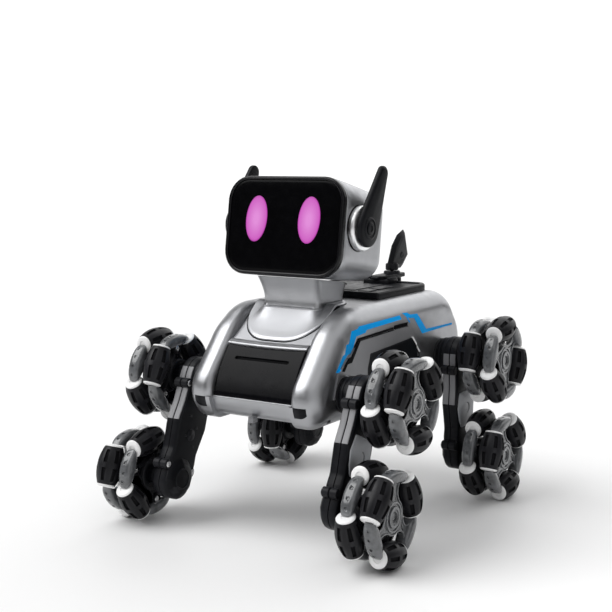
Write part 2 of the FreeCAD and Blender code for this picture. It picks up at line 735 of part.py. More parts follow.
def side_panels():
    """Grey inset plate on each side, cut away round the shoulder."""
    outline = [(-92, 104), (-86, 122), (-72, 131), (-57, 141), (-4, 142.5), (18, 142.5), (30, 131),
               (40, 104)]
    panels = []
    for side in (-1, 1):
        face = polygon_face([at(side * size["body_half"], y, z) for y, z in outline])
        plate = solid("side_plate", face.extrude(Vector(side * 1.0, 0, 0)))
        holes = [cylinder("panel_hole", cell("bush_flange", 1, 1), 4, at(side * 57 - 2, y, z), ALONG_X)
                 for lateral, sign, y, z in shoulder_points() if lateral == side and sign < 0]
        panels.append(cut("side_panel", plate, holes))
    node("side_panels", group("panel_pair", panels))


def shoulder_bushes():
    bushes = []
    for side, sign, y, z in shoulder_points():
        turn = Rotation(Y_AXIS, 90 * side)
        ring = fuse("bush_solid", [
            cylinder("bush_sleeve", cell("bush_radius"), 7.4, at(side * 50, y, z), turn),
            cylinder("bush_flange", cell("bush_flange"), 1.8, at(side * size["body_half"], y, z), turn),
        ])
        bore = cylinder("bush_bore", cell("bush_bore"), 12, at(side * 48, y, z), turn)
        bushes.append(cut("bush", ring, [bore]))
    node("shoulder_bushes", group("bush_set", bushes))


def gearmotors():
    """A flat gearbox with a round motor behind it, for each shoulder."""
    motors = []
    for side, sign, y, z in shoulder_points():
        turn = Rotation(Y_AXIS, 90 * side)
        start = 25.5 if side > 0 else -47.5
        case = fuse("motor_solid", [
            box("gearbox", (22, 20, 20), at(start, y - 10, z - 10)),
            cylinder("motor_can", 8.5, 18, at(side * 8, y, z), turn),
        ])
        bore = cylinder("motor_bore", cell("shaft", 1, TIGHT), 11, at(side * 36.9, y, z), turn)
        motors.append(cut("gearmotor", case, [bore]))
    node("drive_gearmotors", group("motor_set", motors))


def battery_door():
    hinge_y = size["door_length"] / 2 + 2.0
    hinge_z = size["belly"] + size["knuckle"] + 0.1
    gap = size["door_gap"]
    width = size["door_width"]
    lengths = (cell("door_width", 1, -2 * gap), cell("door_length", 1, 2 - gap), cell("door_thick"))
    plate = box("door_plate", lengths, at(-width / 2 + gap, -size["door_length"] / 2 + gap, size["belly"]))
    barrel = cylinder("door_barrel", cell("knuckle"), cell("door_width", 1, -10),
                      at(-width / 2 + 5, hinge_y, hinge_z), ALONG_X)
    notches = [box("door_notch", (5.0, 8, 8), at(x, hinge_y - 3.6, size["belly"] - 2))
               for x in (-width / 2, width / 2 - 5.0)]
    bore = cylinder("door_bore", cell("hinge_pin", 1, TIGHT), width,
                    at(-width / 2, hinge_y, hinge_z), ALONG_X)
    node("battery_door", cut("door", fuse("door_whole", [plate, barrel]), [bore] + notches))


def power_switch():
    knob = box("switch_knob", (5.6, 5.0, 5.2), at(-2.8, 60.6, size["belly"] - 1.8))
    slide = box("switch_slide", (10, 9, 1.4), at(-5, 58.6, size["belly"] + 2.8))
    node("power_switch", fuse("switch", [knob, slide]))


def screws():
    """Belly screws that hold the two torso shells together."""
    pieces = []
    for x, y in screw_points():
        head = cylinder("screw_top", cell("screw_head"), 1.6, at(x, y, 88.4))
        shank = cylinder("screw_body", cell("screw_shank"), 20, at(x, y, 89.0))
        pieces.append(fuse("screw", [head, shank]))
    node("belly_screws", group("screw_set", pieces))


def tail():
    seat = TRAY_TOP - size["tray_step"]
    plate = size["tail_plate"]
    foot = fuse("tail_foot", [
        box("tail_foot_block", (24, 18, plate - seat), at(-12, 69, seat)),
        box("tail_plate", (14, 43, 3.4), at(-7, 70, plate)),
        cylinder("tail_boss", 7, 5.8, at(0, 98, plate)),
        cylinder("tail_pin", 1.5, 11, at(0, 98, plate)),
    ])
    node("tail_base", foot)
    outline = [(89, 176.3), (91, 184), (98, 197), (108, 206), (118, 210), (121, 207), (126.5, 187),
               (116, 178), (113, 176.3)]
    face = polygon_face([at(-size["tail_thick"] / 2, y, z) for y, z in outline])
    fin = solid("tail_fin", face.extrude(Vector(size["tail_thick"], 0, 0)))
    hub = cylinder("tail_hub", 5.5, 6, at(0, 98, 176.3))
    bore = cylinder("tail_bore", cell("roller_pin", 1, TIGHT), 5.5, at(0, 98, 176))
    node("tail", cut("tail_solid", fuse("tail_whole", [fin, hub]), [bore]))


# -------------------------------------------------------------------- head
# The head has its own frame: the face's centre, x to the dog's left, y
# backwards and z up, tilted back by the head's pitch.

PITCH = Rotation(X_AXIS, -size["head_pitch"])
HEAD = Placement(at(0, -69.4, 222.0), PITCH)
PIVOT_BACK = 27.5
EAR_BACK = 24.0
EAR_UP = 1.8


def head_point(x, back, up):
    return HEAD.multVec(Vector(x, back, up))


def rounded_loop(half_x, half_y, radius, centre, turn):
    """Closed rounded rectangle about centre, in the turned XY plane."""
    edges = []
    for index in range(4):
        quarter = Rotation(Z_AXIS, 90 * index)
        span_x, span_y = (half_x, half_y) if index % 2 == 0 else (half_y, half_x)
        corner = quarter.multVec(Vector(span_x - radius, span_y - radius, 0))
        ends = [quarter.multVec(Vector(math.cos(angle), math.sin(angle), 0)) * radius + corner
                for angle in (0, math.pi / 4, math.pi / 2)]
        edges.append(Part.Arc(*[centre + turn.multVec(point) for point in ends]).toShape())
    closed = []
    for index, edge in enumerate(edges):
        following = edges[(index + 1) % 4]
        closed.append(edge)
        closed.append(Part.LineSegment(edge.valueAt(edge.LastParameter),
                                       following.valueAt(following.FirstParameter)).toShape())
    return Part.Wire(closed)


def neck_collar():
    """Collar that flares out over the chest, a waist, and a spigot into the head."""
    slope = Rotation(X_AXIS, 22)
    foot = rounded_loop(33.4, 34, 14, at(0, -50.5, 151.0), slope)
    skirt = rounded_loop(31.5, 30, 12, at(0, -48, 155.8), slope)
    waist = rounded_loop(27, 20, 4, at(0, -41, 165.0), Rotation(X_AXIS, 4))
    top = rounded_loop(27, 18.4, 4, head_point(0, PIVOT_BACK, -size["head_height"] / 2 - 0.3), PITCH)
    lower = solid("collar_lower", Part.makeLoft([foot, skirt], True, True))
    middle = solid("collar_middle", Part.makeLoft([skirt, waist], True, True))
    upper = solid("collar_upper", Part.makeLoft([waist, top], True, True))
    spigot = cylinder("neck_spigot", cell("swivel_radius"), 22,
                      head_point(0, PIVOT_BACK, -size["head_height"] / 2 - 16), PITCH)
    wires = cylinder("neck_wireway", 5, 60,
                     head_point(0, PIVOT_BACK, -size["head_height"] / 2 - 50), PITCH)
    joined = fuse("collar_whole", [lower, middle, upper])
    whole = cut("collar_above", joined, [torso_form("collar_seat", 0)])
    node("neck_collar", cut("collar", fuse("collar_joined", [whole, spigot]), [wires]))


def head_shell():
    body = new_body("head")
    outline = rounded_sketch(body, "XZ_Plane", "head_outline", "head_width", "head_height", "head_round",
                             0.0, -size["bezel_depth"])
    block = pad(body, outline, "block", cell("head_depth"), True)
    doc.recompute()
    far = size["bezel_depth"] + size["head_depth"]
    rear = [f"Edge{index + 1}" for index, edge in enumerate(block.Shape.Edges)
            if abs(edge.CenterOfMass.y - far) < 0.01]
    rounding = body.newObject("PartDesign::Fillet", "rear_round")
    rounding.Base = (block, rear)
    rounding.Radius = 14.0
    body.Tip = rounding
    doc.recompute()
    hollow = rounded_sketch(body, "XZ_Plane", "hollow_outline", "head_width", "head_height", "head_round",
                            size["head_wall"], -size["bezel_depth"])
    pocket(body, hollow, "hollow", "Sizes.head_depth - 6", False)
    swivel = cylinder("swivel_hole", cell("swivel_radius", 1, TIGHT), 8,
                      Vector(0, PIVOT_BACK, -size["head_height"] / 2 - 3))
    ears = cylinder("ear_holes", cell("ear_shaft", 1, 0.5), 120, Vector(-60, EAR_BACK, EAR_UP), ALONG_X)
    node("head_shell", cut("head_cut", body, [swivel, ears]), HEAD)


def face():
    frame = new_body("bezel")
    outline = rounded_sketch(frame, "XZ_Plane", "bezel_outline", "head_width", "head_height", "head_round",
                             0.0, -size["bezel_depth"])
    pad(frame, outline, "ring", cell("bezel_depth"))
    window = rounded_sketch(frame, "XZ_Plane", "window_outline", "head_width", "head_height", "head_round",
                            size["bezel_width"], 0.0)
    pocket(frame, window, "window", cell("bezel_depth"))
    node("face_bezel", frame, HEAD)
    screen = new_body("screen")
    outline = rounded_sketch(screen, "XZ_Plane", "screen_outline", "head_width", "head_height",
                             "head_round", size["bezel_width"], -size["screen_thick"] - 0.6)
    pad(screen, outline, "glass", cell("screen_thick"))
    node("face_screen", screen, HEAD)


def eye_display():
    """Light board behind the screen, with an oval light pad for each eye."""
    back = size["screen_thick"] + 0.6
    board = box("display_board", (86, 1.6, 54), Vector(-43, back + 1.6, -27))
    pads = []
    for side in (-1, 1):
        oval = doc.addObject("Part::Ellipse", "eye_outline")
        oval.MajorRadius = 17.5
        oval.MinorRadius = 9.2
        oval.Placement = Placement(Vector(side * 22.9, back, 3.5),
                                   Rotation(Y_AXIS, 90).multiply(Rotation(X_AXIS, 90)))
        light = doc.addObject("Part::Extrusion", "eye_pad")
        light.Base = oval
        light.DirMode = "Custom"
        light.Dir = Y_AXIS
        light.LengthFwd = 1.6
        light.Solid = True
        pads.append(light)
    node("eye_display", group("display", [board] + pads), HEAD)


def ears():
    half = size["head_width"] / 2
    rings = []
    for side, name in ((1, "left"), (-1, "right")):
        turn = Rotation(Y_AXIS, 90 * side)
        ring = cylinder("ring_disc", cell("ring_radius"), cell("ring_thick"),
                        Vector(side * half, EAR_BACK, EAR_UP), turn)
        hole = cylinder("ring_bore", cell("ear_shaft", 1, TIGHT), cell("ring_thick", 1, 4),
                        Vector(side * (half - 2), EAR_BACK, EAR_UP), turn)
        rings.append(cut("ear_ring", ring, [hole]))
        body = new_body("ear_" + name)
        shape = slot_sketch(body, "ear_outline", (("ear_round", 0), ("ear_tip", 0)), "ear_reach")
        pad(body, shape, "blade", cell("ear_thick"))
        pad(body, circle_sketch(body, "boss_outline", ("ear_shaft", 2.2), None, size["ear_thick"]), "boss",
            "0.6 mm")
        pad(body, circle_sketch(body, "shaft_outline", ("ear_shaft", 0)), "shaft", "12 mm", True)
        outward = Rotation() if side > 0 else Rotation(Z_AXIS, 180)
        upright = Rotation(X_AXIS, 180 - size["ear_lean"])
        base = head_point(side * (half + size["ring_thick"] + size["ear_gap"]), EAR_BACK, EAR_UP)
        node("ear_" + name, body, Placement(base, upright.multiply(outward)))
    node("ear_rings", group("ring_pair", rings), HEAD)


def inner_works():
    """Battery, circuit board and speaker inside the torso."""
    node("battery_pack", box("battery", (50, 70, 20), at(-25, -35, 86.5)))
    board = [box("board_plate", (64, 84, 1.6), at(-32, -42, 126)),
             box("board_chip", (14, 14, 2.4), at(-7, -7, 127.6)),
             box("board_socket", (12, 9, 8), at(-26, 26, 127.6))]
    node("circuit_board", fuse("board", board))
    cone = doc.addObject("Part::Cone", "speaker_cone")
    cone.Radius1 = 9
    cone.Radius2 = 14
    cone.Height = 9
    cone.Placement = Placement(at(0, 40, 140), Rotation())
    node("speaker", fuse("speaker_whole", [cone, cylinder("speaker_rim", 14, 1.6, at(0, 40, 149))]))


# --------------------------------------------------------------- assembly

WHEEL_TURNS = {
    "front_left_upper": 88.4, "front_left_lower": 98.8,
    "front_right_upper": 24.1, "front_right_lower": 79.8,
    "rear_left_upper": 19.1, "rear_left_lower": 80.0,
    "rear_right_upper": 41.0, "rear_right_lower": 0.5,
}


def legs_and_wheels():
    """Four legs, each with two axles, a belt and two wheels."""
    housing_in = inner_housing()
    housing_out = outer_housing()
    belt = drive_belt()
    upper_axle = axle("upper_axle", 38.0, 113.0)
    lower_axle = axle("lower_axle", size["leg_inner"] + 0.6, 113.0)
    frame = wheel_frame()
    rollers = roller_set()
    for side, sign, y, z in shoulder_points():
        end = "front" if sign < 0 else "rear"
        name = end + ("_left" if side > 0 else "_right")
        outward = Rotation() if side > 0 else Rotation(Z_AXIS, 180)
        turn = Rotation(X_AXIS, -size[end + "_lean"])
        stance = turn.multiply(outward)

        def seat(distance, base, rotation):
            return Placement(base + Vector(side * distance, 0, 0), rotation)

        shoulder = at(0, y, z)
        inner = size["leg_inner"]
        copy_of(name + "_leg_inner_housing", housing_in, seat(inner, shoulder, stance))
        outer = inner + size["half_thick"]
        copy_of(name + "_leg_outer_housing", housing_out, seat(outer, shoulder, stance))
        copy_of(name + "_drive_belt", belt, seat(inner + 4.2, shoulder, stance))
        ankle = shoulder + turn.multVec(Vector(0, 0, -size["leg_length"]))
        for level, centre, shaft in (("upper", shoulder, upper_axle), ("lower", ankle, lower_axle)):
            copy_of(f"{name}_{level}_axle", shaft, seat(0, centre, stance))
            spin = Rotation(X_AXIS, 90 - WHEEL_TURNS[f"{name}_{level}"]).multiply(outward)
            copy_of(f"{name}_{level}_wheel_frame", frame, seat(size["wheel_plane"], centre, spin))
            copy_of(f"{name}_{level}_wheel_rollers", rollers, seat(size["wheel_plane"], centre, spin))


def check_model():
    for obj in doc.Objects:
        if "Invalid" in obj.State or "Error" in obj.State:
            raise RuntimeError(f"{obj.Name} ({obj.Label}) failed: {obj.State}")
    for obj in nodes:
        if obj.Shape.isNull() or not obj.Shape.isValid() or not obj.Shape.Solids:
            raise RuntimeError(f"{obj.Label} has no valid solid")


def write_parts():
    os.makedirs("parts", exist_ok=True)
    for obj in nodes:
        obj.Shape.exportStep(f"parts/{obj.Label}.step")
    whole = FreeCAD.BoundBox()
    for obj in nodes:
        whole.add(obj.Shape.BoundBox)
    print(len(nodes), "nodes; overall", whole)


torso_shells()
chest_panel()
back_tray()
corner_bumpers()
side_panels()
shoulder_bushes()
gearmotors()
battery_door()
power_switch()
screws()
tail()
inner_works()
neck_collar()
head_shell()
face()
eye_display()
ears()
legs_and_wheels()
doc.recompute()
check_model()
write_parts()
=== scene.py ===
import json
import math
import bmesh
import bpy
from mathutils import Matrix, Vector
from mathutils.bvhtree import BVHTree


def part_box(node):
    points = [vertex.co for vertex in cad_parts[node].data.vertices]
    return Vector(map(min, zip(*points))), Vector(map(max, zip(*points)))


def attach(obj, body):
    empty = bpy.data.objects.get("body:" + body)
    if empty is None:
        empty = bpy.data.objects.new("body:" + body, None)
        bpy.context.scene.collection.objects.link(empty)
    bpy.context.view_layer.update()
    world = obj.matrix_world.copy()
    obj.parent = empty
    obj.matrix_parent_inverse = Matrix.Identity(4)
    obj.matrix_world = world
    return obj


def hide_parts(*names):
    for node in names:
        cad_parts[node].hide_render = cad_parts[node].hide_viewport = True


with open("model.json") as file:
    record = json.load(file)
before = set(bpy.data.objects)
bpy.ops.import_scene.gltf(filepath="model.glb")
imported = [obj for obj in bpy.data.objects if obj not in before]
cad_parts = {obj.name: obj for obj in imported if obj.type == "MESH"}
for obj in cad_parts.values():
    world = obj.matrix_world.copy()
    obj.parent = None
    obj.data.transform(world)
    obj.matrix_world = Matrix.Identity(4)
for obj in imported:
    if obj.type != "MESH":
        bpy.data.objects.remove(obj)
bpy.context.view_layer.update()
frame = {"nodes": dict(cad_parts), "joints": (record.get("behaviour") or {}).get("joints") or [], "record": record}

# The toy is drawn in millimetres and its meshes are made in metres. Places come from the joints
# and boxes of the imported model; lengths below are the toy's own.
MM = 0.001
joints = {joint["name"]: joint for joint in frame["joints"]}
LEGS = ("front_left", "front_right", "rear_left", "rear_right")
LEVELS = ("upper", "lower")


def pivot(name):
    return Vector(joints[name]["pos_m"]) / MM


def corners_of(node):
    low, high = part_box(node)
    return low / MM, high / MM


DATUM_Y = (pivot("front_left_leg_swing").y + pivot("rear_left_leg_swing").y) / 2


def at(x, y, z):
    """A point given from the body datum, midway between the shoulders."""
    return Vector((x, y + DATUM_Y, z))


# ------------------------------------------------------------------ outlines


def anticlockwise(outline):
    area = sum(a.x * b.y - b.x * a.y for a, b in zip(outline, outline[1:] + outline[:1]))
    return outline if area > 0 else outline[::-1]


def rounded(corners, steps=5):
    """Closed outline; each corner (u, v, radius) becomes an arc."""
    points = []
    for index, (u, v, radius) in enumerate(corners):
        here = Vector((u, v))
        if radius <= 0:
            points.append(here)
            continue
        back = (Vector(corners[index - 1][:2]) - here).normalized()
        ahead = (Vector(corners[(index + 1) % len(corners)][:2]) - here).normalized()
        half = back.angle(ahead) / 2
        run = radius / math.tan(half)
        centre = here + (back + ahead).normalized() * (radius / math.sin(half))
        first = here + back * run - centre
        last = here + ahead * run - centre
        sweep = first.angle(last)
        for step in range(steps + 1):
            part = step / steps
            mixed = first * math.sin((1 - part) * sweep) + last * math.sin(part * sweep)
            points.append(centre + mixed / math.sin(sweep))
    return anticlockwise(points)


def box_outline(half_u, half_v, radius, steps=6):
    return rounded([(half_u, -half_v, radius), (half_u, half_v, radius),
                    (-half_u, half_v, radius), (-half_u, -half_v, radius)], steps)


def oval(half_u, half_v, count=48):
    return [Vector((half_u * math.cos(math.tau * i / count), half_v * math.sin(math.tau * i / count)))
            for i in range(count)]


def inset(outline, distance):
    """The outline drawn in by distance; a negative distance draws it out."""
    result = []
    for index, here in enumerate(outline):
        before = (here - outline[index - 1]).normalized()
        after = (outline[(index + 1) % len(outline)] - here).normalized()
        normal = Vector((-(before.y + after.y), before.x + after.x)).normalized()
        lean = max(0.35, normal.dot(Vector((-before.y, before.x))))
        result.append(here + normal * (distance / lean))
    return result


def soft(low, high, edge, steps=3):
    """Profile of a slab from low to high whose two rims are rounded by edge."""
    rise = []
    for step in range(steps + 1):
        angle = math.pi / 2 * step / steps
        rise.append((edge * (1 - math.sin(angle)), low + edge * (1 - math.cos(angle))))
    fall = [(drawn, low + high - height) for drawn, height in reversed(rise)]
    return rise + fall


# -------------------------------------------------------------------- solids
# A place is a matrix that takes (u, v, w) to the toy's frame; w is the way a slab
# is thick or a turned piece's axis.

FLAT = Matrix()
ACROSS = Matrix(((0, 0, 1, 0), (1, 0, 0, 0), (0, 1, 0, 0), (0, 0, 0, 1)))
FACING = Matrix(((1, 0, 0, 0), (0, 0, -1, 0), (0, 1, 0, 0), (0, 0, 0, 1)))


def skin(bm, rings, loop=False):
    """Faces between equal rings of points, closed by end faces or, in a loop, back to the first ring."""
    rows = [[bm.verts.new(point) for point in ring] for ring in rings]
    pairs = list(zip(rows, rows[1:])) + ([(rows[-1], rows[0])] if loop else [])
    for low, high in pairs:
        for index in range(len(low)):
            following = (index + 1) % len(low)
            bm.faces.new((low[index], low[following], high[following], high[index]))
    if not loop:
        bm.faces.new(rows[0][::-1])
        bm.faces.new(rows[-1])


def slab(bm, outline, profile, place=FLAT, loop=False):
    """Rings of the outline, each drawn in and raised as the profile says."""
    rings = [[place @ Vector((p.x, p.y, height)) for p in inset(outline, drawn)] for drawn, height in profile]
    skin(bm, rings, loop)


def turned(bm, profile, place=FLAT, count=40):
    """A turned piece: profile holds (radius, height)."""
    around = [math.tau * index / count for index in range(count)]
    skin(bm, [[place @ Vector((radius * math.cos(angle), radius * math.sin(angle), height))
               for angle in around]
              for radius, height in profile])


def block(bm, low, high, edge=0.4, place=FLAT):
    """A box with rounded edges between two corners."""
    middle = (Vector(low) + Vector(high)) / 2
    half = (Vector(high) - Vector(low)) / 2
    radius = min(edge * 2, half.x * 0.9, half.y * 0.9)
    outline = [p + middle.xy for p in box_outline(half.x, half.y, radius, 3)]
    slab(bm, outline, soft(low[2], high[2], min(edge, half.z * 0.9), 2), place)


def shift(x, y, z):
    return Matrix.Translation(Vector((x, y, z)))


def turn(degrees, axis):
    return Matrix.Rotation(math.radians(degrees), 4, axis)


def mesh_of(name, bm, materials, mirrored=False, sharp=35.0):
    """The drawn millimetres as a mesh in metres, smooth but for its sharp edges."""
    bmesh.ops.remove_doubles(bm, verts=bm.verts, dist=0.0005)
    bmesh.ops.recalc_face_normals(bm, faces=bm.faces)
    bmesh.ops.scale(bm, vec=(-MM if mirrored else MM, MM, MM), verts=bm.verts)
    if mirrored:
        bmesh.ops.reverse_faces(bm, faces=bm.faces)
    data = bpy.data.meshes.new(name)
    bm.to_mesh(data)
    bm.free()
    data.shade_smooth()
    data.set_sharp_from_angle(angle=math.radians(sharp))
    for item in materials:
        data.materials.append(item)
    return data


def reopened(data):
    """A finished mesh as a drawing in millimetres again."""
    bm = bmesh.new()
    bm.from_mesh(data)
    bmesh.ops.scale(bm, vec=(1 / MM,) * 3, verts=bm.verts)
    return bm


def placed(name, data, body, stands_for=(), matrix=None):
    """A finished piece of the toy, riding on its body."""
    if matrix is not None:
        data = data.copy()
        data.transform(matrix)
    item = bpy.data.objects.new(name, data)
    bpy.context.scene.collection.objects.link(item)
    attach(item, body)
    if stands_for:
        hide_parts(*stands_for)


def piece(name, bm, materials, body, stands_for=(), mirrored=False, sharp=35.0):
    """Hands the mesh over as one visible piece of its body."""
    placed(name, mesh_of(name, bm, materials, mirrored, sharp), body, stands_for)


def carved(data, cutter_bm):
    """The mesh less the cutter's solids."""
    cutter = bpy.data.objects.new("cutter", mesh_of("cutter", cutter_bm, []))
    target = bpy.data.objects.new("target", data)
    for item in (cutter, target):
        bpy.context.scene.collection.objects.link(item)
    difference = target.modifiers.new("cut", "BOOLEAN")
    difference.operation = "DIFFERENCE"
    difference.solver = "EXACT"
    difference.object = cutter
    graph = bpy.context.evaluated_depsgraph_get()
    result = bpy.data.meshes.new_from_object(target.evaluated_get(graph))
    for item in (cutter, target):
        bpy.data.objects.remove(item)
    return result


# ----------------------------------------------------------------- materials

# Where on its noise or pointiness an effect starts and is full.
MOTTLE_STEPS = (0.35, 0.65)
GLOSS_STEPS = (0.3, 0.7)
WEAR_STEPS = (0.52, 0.60)
# The finest relief, in metres.
GRAIN_DEPTH = 0.00008
PAD_GRAIN_DEPTH = 0.00005
COAT_ROUGHNESS = 0.12


def map_range(tree, value, old, new):
    """A node that takes the value from the old range to the new one."""
    node = tree.nodes.new("ShaderNodeMapRange")
    tree.links.new(value, node.inputs["Value"])
    for socket, number in zip(("From Min", "From Max", "To Min", "To Max"), (*old, *new)):
        node.inputs[socket].default_value = number
    return node


def bump_by(tree, height, strength, depth):
    """Relief on the tree's Principled shader."""
    bump = tree.nodes.new("ShaderNodeBump")
    bump.inputs["Strength"].default_value = strength
    bump.inputs["Distance"].default_value = depth
    tree.links.new(height, bump.inputs["Height"])
    tree.links.new(bump.outputs["Normal"], tree.nodes["Principled BSDF"].inputs["Normal"])


def surface(name, colour, roughness, metallic=0.0, tint=0.12, blotch=45.0, grain=0.25, grain_scale=2200.0,
            wear=None, wear_share=0.35, coat=0.0, transmission=0.0, specular=0.5):
    """Plastic, paint, rubber or metal: mottled colour, uneven gloss, fine grain, worn edges."""
    material = bpy.data.materials.new(name)
    material.use_nodes = True
    tree = material.node_tree
    nodes = tree.nodes
    link = tree.links.new
    shader = nodes["Principled BSDF"]
    where = nodes.new("ShaderNodeTexCoord").outputs["Object"]

    def noise(scale, detail):
        texture = nodes.new("ShaderNodeTexNoise")
        texture.inputs["Scale"].default_value = scale
        texture.inputs["Detail"].default_value = detail
        link(where, texture.inputs["Vector"])
        return texture.outputs["Fac"]

    def ramp(value, steps, shades):
        node = nodes.new("ShaderNodeValToRGB")
        for element, position, shade in zip(node.color_ramp.elements, steps, shades):
            element.position = position
            element.color = (*shade, 1.0)
        link(value, node.inputs["Fac"])
        return node.outputs["Color"]

    dark = [channel * (1 - tint) for channel in colour]
    light = [min(1.0, channel * (1 + tint)) for channel in colour]
    mottled = ramp(noise(blotch, 4.0), MOTTLE_STEPS, (dark, light))
    if wear:
        point = nodes.new("ShaderNodeNewGeometry").outputs["Pointiness"]
        edges = ramp(point, WEAR_STEPS, ((0, 0, 0), (wear_share,) * 3))
        mix = nodes.new("ShaderNodeMix")
        mix.data_type = "RGBA"
        link(edges, mix.inputs["Factor"])
        link(mottled, mix.inputs["A"])
        mix.inputs["B"].default_value = (*wear, 1.0)
        mottled = mix.outputs["Result"]
    link(mottled, shader.inputs["Base Color"])
    gloss = map_range(tree, noise(blotch * 4, 3.0), GLOSS_STEPS,
                      (roughness * 0.85, min(1.0, roughness * 1.2)))
    link(gloss.outputs["Result"], shader.inputs["Roughness"])
    bump_by(tree, noise(grain_scale, 2.0), grain, GRAIN_DEPTH)
    shader.inputs["Metallic"].default_value = metallic
    shader.inputs["Specular IOR Level"].default_value = specular
    shader.inputs["Coat Weight"].default_value = coat
    shader.inputs["Coat Roughness"].default_value = COAT_ROUGHNESS
    shader.inputs["Transmission Weight"].default_value = transmission
    return material


def glowing(name, stops, strength):
    """A lit pad: its colour runs from the middle of the piece to the rim."""
    material = bpy.data.materials.new(name)
    material.use_nodes = True
    nodes = material.node_tree.nodes
    link = material.node_tree.links.new
    shader = nodes["Principled BSDF"]
    shader.inputs["Base Color"].default_value = (0.02, 0.0, 0.02, 1.0)
    shader.inputs["Roughness"].default_value = 0.4
    shader.inputs["Emission Strength"].default_value = strength
    where = nodes.new("ShaderNodeTexCoord").outputs["UV"]
    middle = nodes.new("ShaderNodeTexGradient")
    middle.gradient_type = "SPHERICAL"
    link(where, middle.inputs["Vector"])
    node = nodes.new("ShaderNodeValToRGB")
    ramp = node.color_ramp
    while len(ramp.elements) < len(stops):
        ramp.elements.new(0.5)
    for element, (position, shade) in zip(ramp.elements, stops):
        element.position = position
        element.color = (*shade, 1.0)
    link(middle.outputs["Fac"], node.inputs["Fac"])
    link(node.outputs["Color"], shader.inputs["Emission Color"])
    grain = nodes.new("ShaderNodeTexNoise")
    grain.inputs["Scale"].default_value = 1800
    bump_by(material.node_tree, grain.outputs["Fac"], 0.1, PAD_GRAIN_DEPTH)
    return material


SILVER = surface("silver_paint", (0.38, 0.385, 0.40), 0.36, metallic=0.95, tint=0.015, grain=0.04,
                 grain_scale=6500)
GREY = surface("grey_paint", (0.15, 0.152, 0.16), 0.36, metallic=0.6, tint=0.06, wear=(0.5, 0.5, 0.52))
STRIP = surface("strip_grey", (0.17, 0.17, 0.18), 0.40, tint=0.06, wear=(0.3, 0.3, 0.31))
PALE_GREY = surface("pale_grey_plastic", (0.30, 0.31, 0.33), 0.45, tint=0.08, wear=(0.5, 0.5, 0.52))
GLOSS = surface("gloss_black", (0.006, 0.006, 0.008), 0.20, tint=0.2, grain=0.05, specular=0.4)
PANEL = surface("panel_gloss", (0.002, 0.002, 0.003), 0.24, tint=0.2, grain=0.02, specular=0.08)
FRAME = surface("frame_gloss", (0.002, 0.002, 0.003), 0.22, tint=0.2, grain=0.05, specular=0.25)
BLACK = surface("black_plastic", (0.004, 0.0045, 0.006), 0.36, tint=0.25, grain=0.5,
                wear=(0.05, 0.05, 0.055), specular=0.10)
LEG = surface("leg_plastic", (0.004, 0.0045, 0.006), 0.34, tint=0.25, grain=0.4,
              wear=(0.05, 0.05, 0.055), specular=0.10)
SCREEN = surface("screen_glass", (0.0008, 0.0008, 0.0012), 0.22, tint=0.15, grain=0.02, specular=0.08)
BRIGHT = surface("bright_ring", (0.88, 0.885, 0.89), 0.34, metallic=1.0, tint=0.02, grain=0.05)
SMOKY = surface("smoky_plastic", (0.095, 0.099, 0.105), 0.22, tint=0.3, blotch=160, grain=0.3,
                wear=(0.36, 0.37, 0.38), wear_share=0.4, coat=0.5, transmission=0.12)
RUBBER = surface("roller_rubber", (0.008, 0.008, 0.010), 0.38, tint=0.3, grain=0.4, grain_scale=3200,
                 wear=(0.05, 0.05, 0.055), wear_share=0.4, specular=0.22)
# Duller rubber for the groove floors; its darker colour is painted shade in the grooves.
GROOVE_SHADE = surface("groove_painted_shade", (0.005, 0.005, 0.006), 0.7, tint=0.3, grain=0.5, specular=0.1)
WHITE = surface("cap_white", (0.86, 0.86, 0.86), 0.35, tint=0.03, grain=0.2)
BELT = surface("belt_rubber", (0.012, 0.012, 0.012), 0.7, grain=0.8)
STEEL = surface("steel", (0.55, 0.55, 0.56), 0.28, metallic=1.0, tint=0.08, wear=(0.8, 0.8, 0.8))
NYLON = surface("axle_nylon", (0.40, 0.40, 0.41), 0.45, tint=0.08)
MOTOR = surface("motor_case", (0.45, 0.46, 0.47), 0.32, metallic=1.0, tint=0.08)
WRAP = surface("battery_wrap", (0.03, 0.10, 0.45), 0.3, tint=0.12)
BOARD = surface("board_green", (0.02, 0.16, 0.07), 0.4, tint=0.2)
BLUE = surface("blue_print", (0.0, 0.38, 0.97), 0.4, tint=0.06, grain=0.1, specular=0.05)
# Matte black for the prints, and also for the painted shadow round the ear drums and the bib's foot.
INK_AND_SHADE = surface("black_print_and_shade", (0.003, 0.003, 0.004), 0.55, tint=0.2, grain=0.1, specular=0.05)
EYE = glowing("eye_light", [(0.0, (0.40, 0.02, 0.33)), (0.10, (0.58, 0.10, 0.50)),
                            (0.8, (0.72, 0.25, 0.66))], 1.0)
FLOOR = surface("floor", (0.84, 0.84, 0.84), 0.6, tint=0.01, blotch=2, grain=0.02)


# ------------------------------------------------------------------- wheels
# A wheel is drawn once about the origin, axis along x and outer side at +x, and
# then placed eight times. These are the CAD's own sizes.

WHEEL_R = 35.0
# A roller's axis lies ORBIT from the wheel's, in a row ROW from its middle.
ORBIT = 25.3
ROW = 9.0
RUBBER_HALF = 14.0
# How far out along a roller's axis a link's end meets its cap.
CAP_PLANE = 15.9
GROOVES = 7
GROOVE_DEPTH = 1.2
GROOVE_BAND = (1.9, 11.4)
# Where each wheel has stopped, in degrees.
WHEEL_TURNS = {
    "front_left_upper": 88.4, "front_left_lower": 98.8,
    "front_right_upper": 24.1, "front_right_lower": 79.8,
    "rear_left_upper": 19.1, "rear_left_lower": 80.0,
    "rear_right_upper": 41.0, "rear_right_lower": 0.5,
}
# Side of a row, and the angle of its first link.
ROWS = ((1, 0), (-1, 60))


